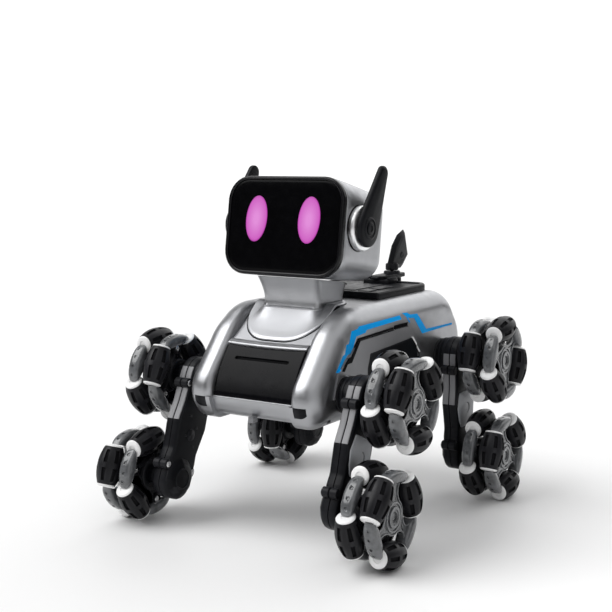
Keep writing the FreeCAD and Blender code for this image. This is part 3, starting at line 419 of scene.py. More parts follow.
def roller_rings():
    """Rings of a barrel roller along y, with two bands of square grooves."""
    near, far = GROOVE_BAND
    half = [(0.0, 0), (near, 0), (near + 0.3, 1), (4.5, 1), (7.0, 1), (9.2, 1), (far - 0.3, 1), (far, 0),
            (12.7, 0), (RUBBER_HALF - 0.4, 0), (RUBBER_HALF, 0)]
    stations = [(-along, cut) for along, cut in reversed(half[1:])] + half
    pitch = 360 / GROOVES
    around = [(-9.4, 0), (-8.2, 1), (-2.7, 1), (2.7, 1), (8.2, 1), (9.4, 0), (16.0, 0), (22.5, 0), (29.0, 0),
              (35.5, 0)]
    rings = []
    for along, in_band in stations:
        barrel = math.sqrt(WHEEL_R ** 2 - along ** 2) - ORBIT
        if abs(along) > RUBBER_HALF - 0.1:
            barrel -= 0.5
        ring = []
        for groove in range(GROOVES):
            for degrees, in_groove in around:
                angle = math.radians(groove * pitch + degrees)
                radius = barrel - GROOVE_DEPTH * in_band * in_groove
                ring.append(Vector((radius * math.cos(angle), along, radius * math.sin(angle))))
        rings.append(ring)
    return rings


def roller_seats():
    """The places of a wheel's six rollers, halfway between the links."""
    return [turn(first + 60 + 120 * index, "X") @ shift(row * ROW, 0, ORBIT)
            for row, first in ROWS for index in range(3)]


def rubber_mesh():
    """Six rollers; the floors of their grooves are dull, and darker as painted shade."""
    bm = bmesh.new()
    rings = roller_rings()
    for seat in roller_seats():
        before = len(bm.faces)
        skin(bm, [[seat @ point for point in ring] for ring in rings])
        bm.faces.ensure_lookup_table()
        home = seat.inverted()
        for face in bm.faces[before:]:
            middle = home @ face.calc_center_median()
            barrel = math.sqrt(WHEEL_R ** 2 - middle.y ** 2) - ORBIT
            deep = math.hypot(middle.x, middle.z) < barrel - GROOVE_DEPTH / 2
            # Faces deep in a groove take the darker rubber, painted shade.
            face.material_index = int(deep and abs(middle.y) < GROOVE_BAND[1])
    return mesh_of("roller_rubber", bm, [RUBBER, GROOVE_SHADE], sharp=28)


def cap_mesh():
    """White domed cap with a sunk pin end, on both ends of each roller."""
    profile = [(6.0, 13.7), (6.75, 13.9), (6.75, 14.5), (6.3, 15.0), (5.0, 15.35), (3.1, 15.5), (2.7, 15.0),
               (0.02, 15.0)]
    upright = turn(-90, "X")
    bm = bmesh.new()
    for seat in roller_seats():
        for side in (0, 180):
            turned(bm, profile, seat @ turn(side, "Z") @ upright, 28)
    return mesh_of("roller_caps", bm, [WHITE])


def link_section(half_x, half_r, count=22, power=3.4):
    """A squarish oval, across and outward."""
    ring = []
    for index in range(count):
        angle = math.tau * index / count
        cosine, sine = math.cos(angle), math.sin(angle)
        ring.append((half_x * math.copysign(abs(cosine) ** (2 / power), cosine),
                     half_r * math.copysign(abs(sine) ** (2 / power), sine)))
    return ring


def rim_links(bm, row, first):
    """Three curved links; their ends are square to the roller caps that they meet."""
    for index in range(3):
        middle = turn(first + 120 * index, "X") @ shift(row * ROW, 0, 0)
        rings = []
        for step in range(15):
            part = step / 7 - 1
            slim = 1 - 0.20 * abs(part) ** 4
            ring = []
            for x, rise in link_section(5.2 * slim, 4.5 * slim):
                reach = 26.6 + rise
                angle = part * (math.radians(60) - math.asin(CAP_PLANE / reach))
                ring.append(middle @ Vector((x, -reach * math.sin(angle), reach * math.cos(angle))))
            rings.append(ring)
        skin(bm, rings)


def dimples(row, first):
    """Round sockets along the back of each link."""
    bm = bmesh.new()
    for index in range(3):
        for degrees in (-19, -7, 7, 19):
            place = turn(first + 120 * index + degrees, "X") @ shift(row * ROW, 0, 30.3)
            turned(bm, [(1.15, 0), (1.15, 3)], place, 14)
    return bm


def spider_outline():
    """A hub ring with three arms that spread where they join the hub and the links."""
    arm = [(10.9, -6.3), (13.3, -4.6), (15.6, -3.5), (18.6, -3.2), (21.2, -4.2), (23.0, -6.4), (24.3, -9.0)]
    arm += [(along, -across) for along, across in reversed(arm)]
    points = []
    for index in range(3):
        angle = math.radians(120 * index)
        out = Vector((math.cos(angle), math.sin(angle)))
        side = Vector((-math.sin(angle), math.cos(angle)))
        points += [out * along + side * across for along, across in arm]
        for degrees in (45, 60, 75):
            rest = math.radians(120 * index + degrees)
            points.append(Vector((math.cos(rest), math.sin(rest))) * 12.6)
    return anticlockwise(points)


# u is up and v is forward for a wheel plate, so that arm 0 points up.
PLATE = Matrix(((0, 0, 1, 0), (0, -1, 0, 0), (1, 0, 0, 0), (0, 0, 0, 1)))
SCREW_ORBIT = 20.6


def outer_spider_mesh():
    """Smoky outer links, the plate that joins them and its ringed hub."""
    bm = bmesh.new()
    rim_links(bm, 1, 0)
    bm = reopened(carved(mesh_of("outer_links", bm, [SMOKY]), dimples(1, 0)))
    slab(bm, spider_outline(), [(0.3, 6.8), (0, 7.1), (0, 10.7), (0.35, 11.1), (1.1, 11.1), (1.35, 10.3)],
         PLATE)
    turned(bm, [(10.4, 10.0), (10.2, 11.4), (9.2, 11.4), (8.8, 10.6), (7.4, 10.6), (7.1, 11.9), (5.3, 11.9),
                (4.9, 11.2), (3.7, 11.2), (3.5, 8.2), (0.02, 8.2)], ACROSS, 48)
    return mesh_of("outer_spider", bm, [SMOKY], sharp=32)


def inner_links_mesh():
    bm = bmesh.new()
    rim_links(bm, -1, 60)
    return carved(mesh_of("inner_links", bm, [SMOKY]), dimples(-1, 60))


def screw_seats(x=0.0):
    """Where the three screws of the inner plate stand, x along the wheel's axis."""
    return [turn(60 + 120 * index, "X") @ shift(x, 0, SCREW_ORBIT) for index in range(3)]


def inner_spider_mesh():
    """Black inner plate with its arms, middle disc and hub tube."""
    bm = bmesh.new()
    back = PLATE @ turn(60, "Z")
    slab(bm, spider_outline(), [(1.4, -10.4), (1.1, -11.2), (0.4, -11.2), (0, -10.8), (0, -7.0)], back)
    turned(bm, [(17.2 - drawn, height) for drawn, height in soft(-1.8, 1.8, 0.6)], ACROSS, 40)
    turned(bm, [(7.0, 8.0), (7.0, -16.5), (8.4, -17.0), (8.4, -20.4), (7.8, -21.0), (7.0, -21.0),
                (6.6, -21.9), (2.6, -21.9)], ACROSS, 40)
    turned(bm, [(12.4, -10.0), (12.4, -12.2), (11.6, -12.8), (9.4, -12.8), (9.0, -12.0), (7.0, -12.0)],
           ACROSS, 40)
    for seat in screw_seats():
        turned(bm, [(3.9, -10.0), (3.9, -12.4), (3.5, -12.8), (2.9, -12.8), (2.8, -11.6), (0.02, -11.6)],
               seat @ ACROSS, 24)
    return mesh_of("inner_spider", bm, [BLACK], sharp=32)


def screw_head(bm, place, radius, rise=0.9):
    """A domed screw head, standing on w = 0."""
    turned(bm, [(radius, 0), (radius, rise * 0.4), (radius * 0.85, rise * 0.8), (radius * 0.55, rise),
                (0.05, rise)], place, 20)


def wheel_screw_mesh():
    """Three screw heads, with a cross cut one bar at a time."""
    bm = bmesh.new()
    for seat in screw_seats(-11.6):
        screw_head(bm, seat @ turn(180, "Y") @ ACROSS, 2.3)
    data = mesh_of("wheel_screws", bm, [STEEL])
    for tilt in (20, 110):
        slots = bmesh.new()
        for seat in screw_seats(-12.1):
            block(slots, (-1.4, -0.3, -1.5), (0, 0.3, 1.5), 0.05, seat @ turn(tilt, "X"))
        data = carved(data, slots)
    return data


def wheels():
    """Skins of the eight wheels: spiders, rollers with their white caps, hubs and screws."""
    parts = (("rollers", rubber_mesh(), "roller_rubber", "rollers"),
             ("roller_caps", cap_mesh(), "roller_rubber", "rollers"),
             ("outer_spider", outer_spider_mesh(), "smoky_plastic", "frame"),
             ("inner_links", inner_links_mesh(), "smoky_plastic", "frame"),
             ("inner_spider", inner_spider_mesh(), "black_plastic", "frame"),
             ("wheel_screws", wheel_screw_mesh(), "screw_steel", "frame"))
    for leg in LEGS:
        half_turn = turn(0 if leg.endswith("left") else 180, "Z")
        for level in LEVELS:
            wheel = f"{leg}_{level}_wheel"
            spin = turn(90 - WHEEL_TURNS[f"{leg}_{level}"], "X")
            place = Matrix.Translation(pivot(wheel + "_spin") * MM) @ spin @ half_turn
            for label, data, slot, node in parts:
                placed(f"{leg}_{level}_{label}", data, wheel, [f"{wheel}_{node}"], place)


# --------------------------------------------------------------------- legs
# A leg is drawn as the dog's left one: x outward from its inner face, y to the
# rear and z up from the shoulder axis, then leaned and, on the right, mirrored.

LEG_INNER = 66.0
LEG_LENGTH = 77.0
# Height, front edge and rear edge of each pair of screw lugs.
LUGS = ((-8.8, -16.5, 15.5), (-70.0, -16.4, 13.2))


def leg_outline():
    """Side of a leg: round shoulder, broad middle, waist and round foot."""
    profile = [(15.5, 15.5, 15.3), (15.5, -23, 8), (17.2, -37, 8), (13.9, -57, 10), (15.0, -64, 6),
               (15.4, -LEG_LENGTH - 15.4, 13)]
    corners = [(y, z, r) for y, z, r in profile] + [(-y, z, r) for y, z, r in reversed(profile)]
    return rounded(corners, 6)


def inner_half(bm):
    slab(bm, leg_outline(), [(2.6, 0.0), (1.2, 0.25), (0.3, 1.3), (0, 2.2), (0, 6.1), (0.3, 6.3)], ACROSS)


def outer_half(bm):
    slab(bm, leg_outline(), [(0.3, 6.7), (0, 6.9), (0, 11.0), (0.3, 12.0), (1.3, 12.8), (2.6, 13.0)], ACROSS)


def leg_barrels(bm):
    """Thick bevelled foot barrel and shoulder drum on the inner side."""
    foot = shift(0, 0, -LEG_LENGTH)
    ring = rounded([(15.2 * math.cos(math.radians(a)), 15.2 * math.sin(math.radians(a)), 3.0)
                    for a in range(15, 375, 30)], 2)
    slab(bm, ring, [(0, 4.0), (0, 0.4), (0.5, -0.2), (3.2, -2.2), (4.0, -2.5)], foot @ ACROSS)
    turned(bm, [(7.6, -2.3), (7.6, -2.9), (7.2, -3.2), (6.9, -3.2), (6.6, -2.8), (0.02, -3.3)],
           foot @ ACROSS, 36)
    turned(bm, [(14.4, 1.0), (14.4, -1.2), (13.6, -1.6), (13.6, -3.0), (14.0, -3.3), (14.0, -4.6),
                (13.2, -5.0), (13.2, -6.4), (7.0, -6.4), (7.0, -17)], ACROSS, 48)


def lugs(bm):
    """Screw lugs in two halves on the leg's edges, near its top and its foot."""
    for level, *edges in LUGS:
        for edge in edges:
            for low, high in ((0.4, 6.3), (6.8, 12.7)):
                turned(bm, [(3.0, low), (3.6, low + 0.5), (3.6, high - 0.5), (3.0, high)],
                       shift(0, edge, level) @ ACROSS, 28)
            root = edge - math.copysign(5.0, edge)
            block(bm, (0.8, min(edge, root), level - 2.7), (12.4, max(edge, root), level + 2.7), 0.4)


def lug_screws(bm):
    for level, *edges in LUGS:
        for edge in edges:
            screw_head(bm, shift(0.5, edge, level) @ turn(180, "Y") @ ACROSS, 2.3, 1.1)


def leg_strips(bm):
    """Grey strips down the front edge of each half, above and below the upper lug."""
    upper = [(-14.4, -5.2), (-16.0, -5.2), (-16.0, 0), (-15.4, 4.0), (-14.0, 4.0)]
    lower = [(-14.6, -12.4), (-16.0, -12.4), (-16.0, -22.5), (-17.7, -36.5), (-16.2, -36.5), (-14.6, -22.5)]
    for outline in (upper, lower):
        points = anticlockwise([Vector(corner) for corner in outline])
        for low, high in ((1.3, 6.0), (6.9, 11.6)):
            slab(bm, points, soft(low, high, 0.3, 2), ACROSS)


def crescent():
    """A moon-shaped cutter for the cover plate."""
    bm = bmesh.new()
    points = []
    for step in range(13):
        angle = math.radians(-100 + 200 * step / 12)
        points.append(Vector((4.6 * math.cos(angle), 4.6 * math.sin(angle))))
    for step in range(1, 12):
        angle = math.radians(100 - 200 * step / 12)
        points.append(Vector((-1.0 + 4.0 * math.cos(angle), 4.25 * math.sin(angle))))
    slab(bm, anticlockwise(points), [(0, 12.6), (0, 16.0)], shift(0, 1.0, -42) @ ACROSS)
    return bm


def leg_cover(bm):
    """Faceted grey plate on the outer face."""
    outline = rounded([(11.5, -28, 2), (14.6, -40, 3), (12.2, -56.5, 2), (-8.5, -56.5, 2), (-12.2, -50, 2),
                       (-14.6, -40, 3), (-11.5, -28, 2)], 3)
    slab(bm, outline, [(0, 12.2), (0, 13.4), (0.25, 13.8), (1.0, 14.1)], ACROSS)


def leg_marks(bm):
    """Small raised tabs and a stud on the inner face."""
    for y, z in ((6.5, -20), (-5.5, -31), (4.5, -38), (-6.0, -46), (5.5, -52)):
        block(bm, (-0.35, y - 1.6, z - 0.7), (0.4, y + 1.6, z + 0.7), 0.25)
    turned(bm, [(4.4, 0.3), (4.4, -0.4), (4.0, -0.6), (0.02, -0.6)], shift(0, 0, -44.5) @ ACROSS, 24)


def legs():
    """Moulded skins of the legs' halves, with their lugs, screws and strips."""
    for leg in LEGS:
        right = leg.endswith("right")
        shoulder = pivot(leg + "_leg_swing")
        ankle = pivot(leg + "_lower_wheel_spin")
        lean = math.degrees(math.atan2(shoulder.y - ankle.y, shoulder.z - ankle.z))
        place = shift(LEG_INNER, shoulder.y, shoulder.z) @ turn(-lean, "X")
        inner, outer = leg + "_leg_inner_housing", leg + "_leg_outer_housing"
        for label, makers, material, slot, stands_for in (
                ("inner_half", (inner_half, leg_barrels, leg_marks), LEG, "leg_black", [inner]),
                ("outer_half", (outer_half,), LEG, "leg_black", [outer]),
                ("lugs", (lugs,), LEG, "leg_black", [inner, outer]),
                ("lug_screws", (lug_screws,), STEEL, "screw_steel", [inner]),
                ("front_strips", (leg_strips,), STRIP, "grey_paint", [outer]),
                ("cover_plate", (leg_cover,), PALE_GREY, "grey_paint", [outer])):
            name = f"{leg}_{label}"
            bm = bmesh.new()
            for maker in makers:
                maker(bm)
            if label == "cover_plate":
                bm = reopened(carved(mesh_of(name, bm, [material]), crescent()))
            bm.transform(place)
            piece(name, bm, [material], leg + "_leg", stands_for, mirrored=right)


# --------------------------------------------------------------------- head
# The head's frame: the face's centre, x to the dog's left, y backwards, z up.

HEAD_W, HEAD_H, HEAD_R = 101.0, 73.0, 18.0
BEZEL = 5.6
HEAD_DEPTH = 66.0
PIVOT_BACK = 27.5
EAR_BACK, EAR_UP = 24.0, 1.8
EAR_LEAN = 29.0
RING_R, RING_THICK = 16.5, 5.0
EAR_THICK = 4.2
EAR_START = HEAD_W / 2 + RING_THICK + 0.3


def head_frame():
    up = Vector(joints["head_swivel"]["axis"]).normalized()
    side = Vector((1, 0, 0))
    back = up.cross(side)
    origin = pivot("head_swivel") - back * PIVOT_BACK + up * (HEAD_H / 2)
    columns = Matrix((side, back, up)).transposed().to_4x4()
    return Matrix.Translation(origin) @ columns


HEAD = head_frame()


def head_outline(steps=8):
    return box_outline(HEAD_W / 2, HEAD_H / 2, HEAD_R, steps)


def face():
    """Slim glossy frame with a fine ridge, and the dark screen inside it."""
    bm = bmesh.new()
    slab(bm, head_outline(), [(0.9, -BEZEL), (0.2, -BEZEL + 0.3), (0, -4.6), (0, -1.8), (0.25, -0.9),
                              (0.8, -0.25), (1.5, 0.0), (2.2, -0.15), (2.7, -0.6), (2.9, -1.3),
                              (3.0, -BEZEL)], HEAD @ FACING, loop=True)
    piece("face_frame", bm, [FRAME], "head", ["face_bezel"])
    bm = bmesh.new()
    slab(bm, head_outline(), [(2.9, -3.6), (2.9, -1.35), (3.6, -1.15), (5.0, -1.0), (9.0, -0.9)],
         HEAD @ FACING)
    piece("screen", bm, [SCREEN], "head", ["face_screen"])


def eye(side):
    """Lit oval pad, slightly domed and tilted, with a lighter middle."""
    name = "left_eye" if side > 0 else "right_eye"
    half_u, half_v = 9.3, 17.0
    place = HEAD @ FACING @ shift(side * 22.9 - 0.8, 4.8, 0) @ turn(-4, "Z")
    layers = [(1.0, -1.1), (1.0, -0.85), (0.96, -0.75)]
    layers += [(part, -0.72 + 0.3 * (1 - part ** 2)) for part in (0.9, 0.75, 0.6, 0.45, 0.3, 0.15, 0.03)]
    bm = bmesh.new()
    skin(bm, [[place @ Vector((p.x, p.y, height)) for p in oval(half_u * part, half_v * part)]
              for part, height in layers])
    spread = bm.loops.layers.uv.new("UVMap")
    back = place.inverted()
    for corner in (corner for made in bm.faces for corner in made.loops):
        here = back @ corner.vert.co
        corner[spread].uv = (here.x / half_u, here.y / half_v)
    piece(name, bm, [EYE], "head", ["eye_display"])


def head_skin():
    """Silver shell: its top falls and its sides draw in a little towards the round back."""
    far = BEZEL + HEAD_DEPTH
    round_back = 17.0
    slack = 0.8
    depths = [(BEZEL + 0.1, 1.6), (BEZEL + 0.6, 0.8), (BEZEL + 1.2, 0.25), (BEZEL + 2.2, 0.0), (16, 0),
              (28, 0.1), (40, 0.4), (far - round_back, slack)]
    for step in range(1, 10):
        angle = math.pi / 2 * step / 9
        depths.append((far - round_back + round_back * math.sin(angle),
                       slack + round_back * (1 - math.cos(angle))))
    most = HEAD_R - 0.6
    rings = []
    for back, drawn in depths:
        fall = 1 - 0.11 * (back - BEZEL) / HEAD_DEPTH
        extra = max(0.0, drawn - most)
        ring = []
        for p in inset(head_outline(10), min(drawn, most)):
            across = p.x - math.copysign(min(extra, abs(p.x)), p.x)
            up = p.y * (fall if p.y > 0 else 1.0)
            ring.append(HEAD @ Vector((across, back, up)))
        rings.append(ring)
    bm = bmesh.new()
    skin(bm, rings)
    piece("head_skin", bm, [SILVER], "head", ["head_shell"], sharp=50)


def outward(side):
    """Turns a place so that w points out of the head's left side, or its right one."""
    return turn(0 if side > 0 else 180, "Z") @ ACROSS


def head_side_panels():
    """Shallow raised panel low on each side of the head."""
    bm = bmesh.new()
    for side in (1, -1):
        place = HEAD @ shift(side * (HEAD_W / 2 - 0.65), 0, 0) @ outward(side)
        outline = rounded([(side * u, v, 2) for u, v in ((30, -14), (48, -11), (46, -3), (34, -4))], 3)
        slab(bm, outline, [(0, -1), (0, 0.6), (0.5, 0.85)], place)
    piece("head_side_panels", bm, [SILVER], "head", ["head_shell"])


def ear_rings():
    """Smooth bright drum at each ear, on a thin black ring that is painted contact shadow on the head."""
    bm, shadow_ring = bmesh.new(), bmesh.new()
    for side in (1, -1):
        place = HEAD @ shift(side * HEAD_W / 2, EAR_BACK, EAR_UP) @ outward(side)
        # A thin black ring just outside each drum's foot: painted contact shadow on the head.
        turned(shadow_ring, [(RING_R + 0.5, -1.0), (RING_R + 0.5, 0.35), (RING_R - 1, 0.5)], place, 96)
        turned(bm, [(RING_R - 0.2, 0.3), (RING_R, 0.6), (RING_R, RING_THICK - 1.1),
                    (RING_R - 0.4, RING_THICK - 0.4), (RING_R - 1.2, RING_THICK), (4.5, RING_THICK)],
               place, 96)
    piece("ear_ring_pair", bm, [BRIGHT], "head", ["ear_rings"])
    piece("ear_painted_shadows", shadow_ring, [INK_AND_SHADE], "head", ["ear_rings"])


def ear_outline(hub=13.5, tip=5.6, span=45.0):
    """Round hub and slender blade; v runs along the blade."""
    slope = math.asin((hub - tip) / span)
    points = []
    for step in range(25):
        angle = math.pi - slope + (math.pi + 2 * slope) * step / 24
        points.append(Vector((hub * math.cos(angle), hub * math.sin(angle))))
    for step in range(13):
        angle = slope + (math.pi - 2 * slope) * step / 12
        points.append(Vector((tip * math.cos(angle), span + tip * math.sin(angle))))
    return anticlockwise(points)


def ears():
    """Blade with a softly crowned outer face and a ringed cap over its shaft."""
    centre = HEAD @ Vector((0, EAR_BACK, EAR_UP))
    for side, name in ((1, "left"), (-1, "right")):
        bm = bmesh.new()
        slab(bm, ear_outline(), [(0.9, 0.0), (0.25, 0.2), (0, 0.7), (0, EAR_THICK - 1.5),
                                 (0.35, EAR_THICK - 0.75), (1.0, EAR_THICK - 0.3), (2.0, EAR_THICK)], ACROSS)
        cap = [(8.2, -0.5), (8.2, 0.2), (7.8, 0.5), (6.9, 0.6), (6.6, 0.1), (5.6, -0.4), (4.9, -0.4),
               (4.7, 0.5), (4.2, 0.8), (2.4, 0.8), (2.1, 0.2), (0.02, 0.2)]
        turned(bm, [(radius, EAR_THICK + rise) for radius, rise in cap], ACROSS, 48)
        turned(bm, [(3.5, 0.4), (3.5, -11)], ACROSS, 24)
        bm.transform(shift(EAR_START, centre.y, centre.z) @ turn(-EAR_LEAN, "X"))
        piece(name + "_ear_blade", bm, [BLACK], name + "_ear", ["ear_" + name],
              mirrored=side < 0)


def even_loop(half_x, half_y, radius, count=80):
    """Rounded box as evenly spaced points that start at the middle of its front."""
    corners = [Vector((0, -half_y))] + box_outline(half_x, half_y, radius, 10)
    runs = [(b - a).length for a, b in zip(corners, corners[1:] + corners[:1])]
    points, index, done = [], 0, 0.0
    for step in range(count):
        reach = sum(runs) * step / count
        while done + runs[index] < reach:
            done += runs[index]
            index += 1
        ahead = corners[(index + 1) % len(corners)]
        points.append(corners[index].lerp(ahead, (reach - done) / runs[index]))
    return points


# The chest's floor rises backwards through this point, from the datum, up to the flat back.
CHEST_SLOPE = math.radians(36)
CHEST_FLOOR_Y, CHEST_FLOOR_Z = -83.2, 139.6
BACK_TOP = 163.0


def on_body(point, rise):
    """Height of the chest's sloping floor, or of the flat back behind it, plus rise."""
    return min(BACK_TOP, CHEST_FLOOR_Z + (point.y - CHEST_FLOOR_Y) * math.tan(CHEST_SLOPE)) + rise


def neck():
    """Bib that flares over the chest to a rounded lip, a fine step, and a waist."""
    def draped(half_x, front, rear, radius, rise):
        """A plan outline laid on the body and raised by rise."""
        centre = (front + rear) / 2
        outline = [p + Vector((0, centre)) for p in even_loop(half_x, (rear - front) / 2, radius)]
        return [Vector((p.x, p.y, on_body(p, rise))) for p in outline]

    def level(half_x, front, rear, radius, z, tilt=0.0):
        place = shift(0, (front + rear) / 2, z) @ turn(tilt, "X")
        return [place @ Vector((p.x, p.y, 0)) for p in even_loop(half_x, (rear - front) / 2, radius)]

    brim = draped(34.0, -82.7, -17.5, 26.5, 1.7)
    step_loop = level(26.0, -61.8, -22.0, 6.6, 160.7)
    rings = [draped(34.0, -82.8, -17.4, 26.6, -0.6), draped(34.6, -83.3, -17.0, 27.0, 0.4),
             draped(34.6, -83.3, -17.0, 27.0, 1.1), brim]
    for step in range(1, 15):
        part = step / 14
        ring = []
        for low, high in zip(brim, step_loop):
            here = low.lerp(high, part)
            ground = on_body(here, 0)
            lift = 1.7 + max(0.0, high.z - on_body(high, 1.7)) * part ** 3
            ring.append(Vector((here.x, here.y, ground + lift)))
        rings.append(ring)
    rings.append(level(26.0, -61.8, -22.0, 6.6, 161.3))
    rings.append(level(25.6, -61.3, -22.0, 6.2, 161.8))
    rings.append(level(25.0, -60.5, -22.0, 5.6, 161.9))
    for step in range(11):
        part = step / 10
        waist, top = (1 - part) ** 3, part ** 1.6
        rings.append(level(24.0 + 0.8 * waist + 3.0 * top, -57.4 - 2.7 * waist - 7.8 * top,
                           -22.0 + 2.0 * top, 4.6, 162.2 + 18.2 * part, -8 * top))
    head_foot = HEAD @ shift(0, PIVOT_BACK, -HEAD_H / 2 - 0.5)
    rings = [[shift(0, DATUM_Y, 0) @ point for point in ring] for ring in rings]
    rings.append([head_foot @ Vector((p.x, p.y, 0)) for p in even_loop(27.3, 19.2, 4.6)])
    bm = bmesh.new()
    skin(bm, rings)
    piece("neck_skin", bm, [SILVER], "torso", ["neck_collar"], sharp=30)
    # A thin black band just outside the bib's foot: painted shade where the collar meets the body.
    bm = bmesh.new()
    within, beyond = (34.0, -82.8, -17.4, 26.6), (35.1, -83.9, -16.6, 27.6)
    rings = [draped(*edge, rise)
             for edge, rise in ((within, -0.8), (beyond, -0.8), (beyond, 0.25), (within, 0.3))]
    skin(bm, [[shift(0, DATUM_Y, 0) @ point for point in ring] for ring in rings])
    piece("neck_painted_shadow", bm, [INK_AND_SHADE], "torso", ["neck_collar"])


# -------------------------------------------------------------------- torso

BODY_HALF = 57.0
CHEST_HALF = 34.0
# Prints are pressed on from here, beyond the torso's side.
OUTSIDE = 90
# The chest plate's lower and upper edge.
PLATE_LOW, PLATE_HIGH = at(0, -108.2, 100.9), at(0, -87.7, 136.3)
# Where the slot lies, as a share of the plate's height.
SLOT_PART = 0.71


def chest_plate(along, out):
    """Crowned glossy plate, its two long edges rounded."""
    half = CHEST_HALF - 0.5
    length = (PLATE_HIGH - PLATE_LOW).length
    section = ((-half, 1.3), (-half, 0.4), (-half + 0.5, 0.0), (half - 0.5, 0.0), (half, 0.4), (half, 1.3))
    rings = []
    for step in range(25):
        part = step / 24
        sink = max(0.0, 0.7 - min(part, 1 - part) * length) * 0.8
        lift = 1.4 + 2.2 * math.sin(math.pi * part) - sink
        centre = PLATE_LOW + along * (length * part) + out * lift
        rings.append([centre + Vector((x, 0, 0)) - out * drop for x, drop in section])
    bm = bmesh.new()
    skin(bm, rings)
    return mesh_of("chest_plate", bm, [PANEL])


def chest_lips():
    """Two fine bowed silver lips above the plate."""
    up_slope = Vector((0, math.cos(CHEST_SLOPE), math.sin(CHEST_SLOPE)))
    rise = Vector((0, -up_slope.z, up_slope.y))
    bm = bmesh.new()
    for section in (((-1.9, 0.2), (-1.9, 1.5), (-1.5, 1.9), (-0.3, 2.0), (0.0, 1.6), (0.0, 0.2)),
                    ((0.3, 0.0), (0.3, 1.5), (0.7, 1.9), (3.0, 1.6), (4.0, 0.9), (4.0, 0.0))):
        rings = []
        for step in range(17):
            x = (step / 8 - 1) * (CHEST_HALF - 0.15)
            bow = 1.5 * (1 - (x / CHEST_HALF) ** 2)
            middle = PLATE_HIGH + Vector((x, 0, 0))
            rings.append([middle + up_slope * (run - bow) + rise * (lift + 0.4 * bow)
                          for run, lift in section])
        skin(bm, rings)
    piece("chest_lips", bm, [SILVER], "torso")


def chest():
    """The plate with a long sunk slot, and the lips above it."""
    along = (PLATE_HIGH - PLATE_LOW).normalized()
    out = Vector((0, -along.z, along.y))
    reach = (PLATE_HIGH - PLATE_LOW).length * SLOT_PART
    axes = Matrix((Vector((1, 0, 0)), along, out)).transposed().to_4x4()
    slot_place = Matrix.Translation(PLATE_LOW + along * reach + out * 0.7) @ axes
    cutter = bmesh.new()
    slab(cutter, box_outline(22.9, 1.0, 0.95, 6), [(0, 0.6), (0, 1.9), (-0.4, 2.4), (-0.5, 6)], slot_place)
    data = carved(chest_plate(along, out), cutter)
    data.shade_smooth()
    data.set_sharp_from_angle(angle=math.radians(30))
    placed("chest_plate", data, "torso", ["chest_panel"])
    bm = bmesh.new()
    slab(bm, box_outline(23.1, 1.2, 1.1, 6), [(0, 0.2), (0, 0.9), (0.3, 1.0)], slot_place)
    piece("chest_slot_floor", bm, [INK_AND_SHADE], "torso")
    chest_lips()


def side_tree():
    """The torso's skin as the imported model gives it, in millimetres, for laying prints on."""
    points, faces = [], []
    for node in ("torso_upper_shell", "torso_lower_shell", "side_panels"):
        data = frame["nodes"][node].data
        first = len(points)
        points += [v.co / MM for v in data.vertices]
        faces += [[first + index for index in face.vertices] for face in data.polygons]
    return BVHTree.FromPolygons(points, faces)


def lay_on_side(bm, tree, outline, lift, side, cell_size):
    """A thin print cut to the outline and into cells, pressed onto the torso's side."""
    flat = bmesh.new()
    flat.faces.new([flat.verts.new((p[0], p[1], 0)) for p in outline])
    low, high = (Vector([pick(column) for column in zip(*outline)]) for pick in (min, max))
    for axis, normal in enumerate((Vector((1, 0, 0)), Vector((0, 1, 0)))):
        for step in range(1, int((high[axis] - low[axis]) / cell_size) + 1):
            bmesh.ops.bisect_plane(flat, geom=flat.verts[:] + flat.edges[:] + flat.faces[:],
                                   plane_co=normal * (low[axis] + cell_size * step), plane_no=normal)
    copies = {}
    for vert in flat.verts:
        start = at(side * OUTSIDE, vert.co.x, vert.co.y)
        hit = tree.ray_cast(start, Vector((-side, 0, 0)))
        x = hit[0].x if hit[0] else side * BODY_HALF
        copies[vert] = [bm.verts.new((x + side * height, start.y, start.z)) for height in (-0.3, lift)]
    for face in flat.faces:
        loop = [copies[vert] for vert in face.verts]
        bm.faces.new([pair[1] for pair in loop])
        bm.faces.new([pair[0] for pair in loop][::-1])
    for edge in flat.edges:
        if len(edge.link_faces) == 1:
            a, b = copies[edge.verts[0]], copies[edge.verts[1]]
            bm.faces.new((a[0], b[0], b[1], a[1]))
    flat.free()


# The prints' outlines (y, z from the datum).
BLUE_LINES = (
    ((-87.8, 122.4), (-78.4, 132.9), (-75.9, 133.6), (-73.3, 140.0), (-70.3, 140.4), (-65.0, 148.6),
     (-57.9, 149.4), (-55.5, 151.0), (5.9, 151.8), (8.5, 148.5), (-45.5, 147.1), (-47.0, 145.4),
     (-60.4, 144.2), (-64.5, 137.4), (-68.6, 133.4), (-72.5, 132.6), (-76.1, 130.1), (-85.0, 122.1)),
    ((10.4, 153.0), (18.3, 152.5), (22.5, 150.6), (34.2, 150.0), (50.0, 136.0), (97, 135.2), (97, 133.7),
     (43.0, 133.2), (28.9, 147.2), (21.0, 148.0), (15.8, 149.6)),
    ((16.0, 149.2), (17.6, 149.2), (22.8, 144.4), (21.4, 144.4)),
)
BLACK_LINES = (
    ((-81.0, 122.3), (-77.6, 126.5), (-73.1, 130.4), (-69.0, 131.0), (-58.0, 142.6), (-5.3, 144.2),
     (-6.2, 141.9), (-56.6, 140.6), (-68.6, 126.8), (-74.5, 126.6), (-78.7, 121.9)),
)
TICKS = tuple(((y, 142.2), (y + 1.2, 142.2), (y + 2.1, 145.2), (y + 0.9, 145.2))
              for y in (-4.2 + 2.2 * index for index in range(10)))
# A dark arched inset over the front shoulder, and a pale line at its rear edge.
ARCH = ((-45, 104), (-45, 118.7), (-41.0, 129.4), (23.0, 132.6), (38, 119.8), (38, 104))
ARCH_LINE = ((22.8, 133.2), (25.0, 133.2), (39.2, 119.6), (37.6, 119.0))


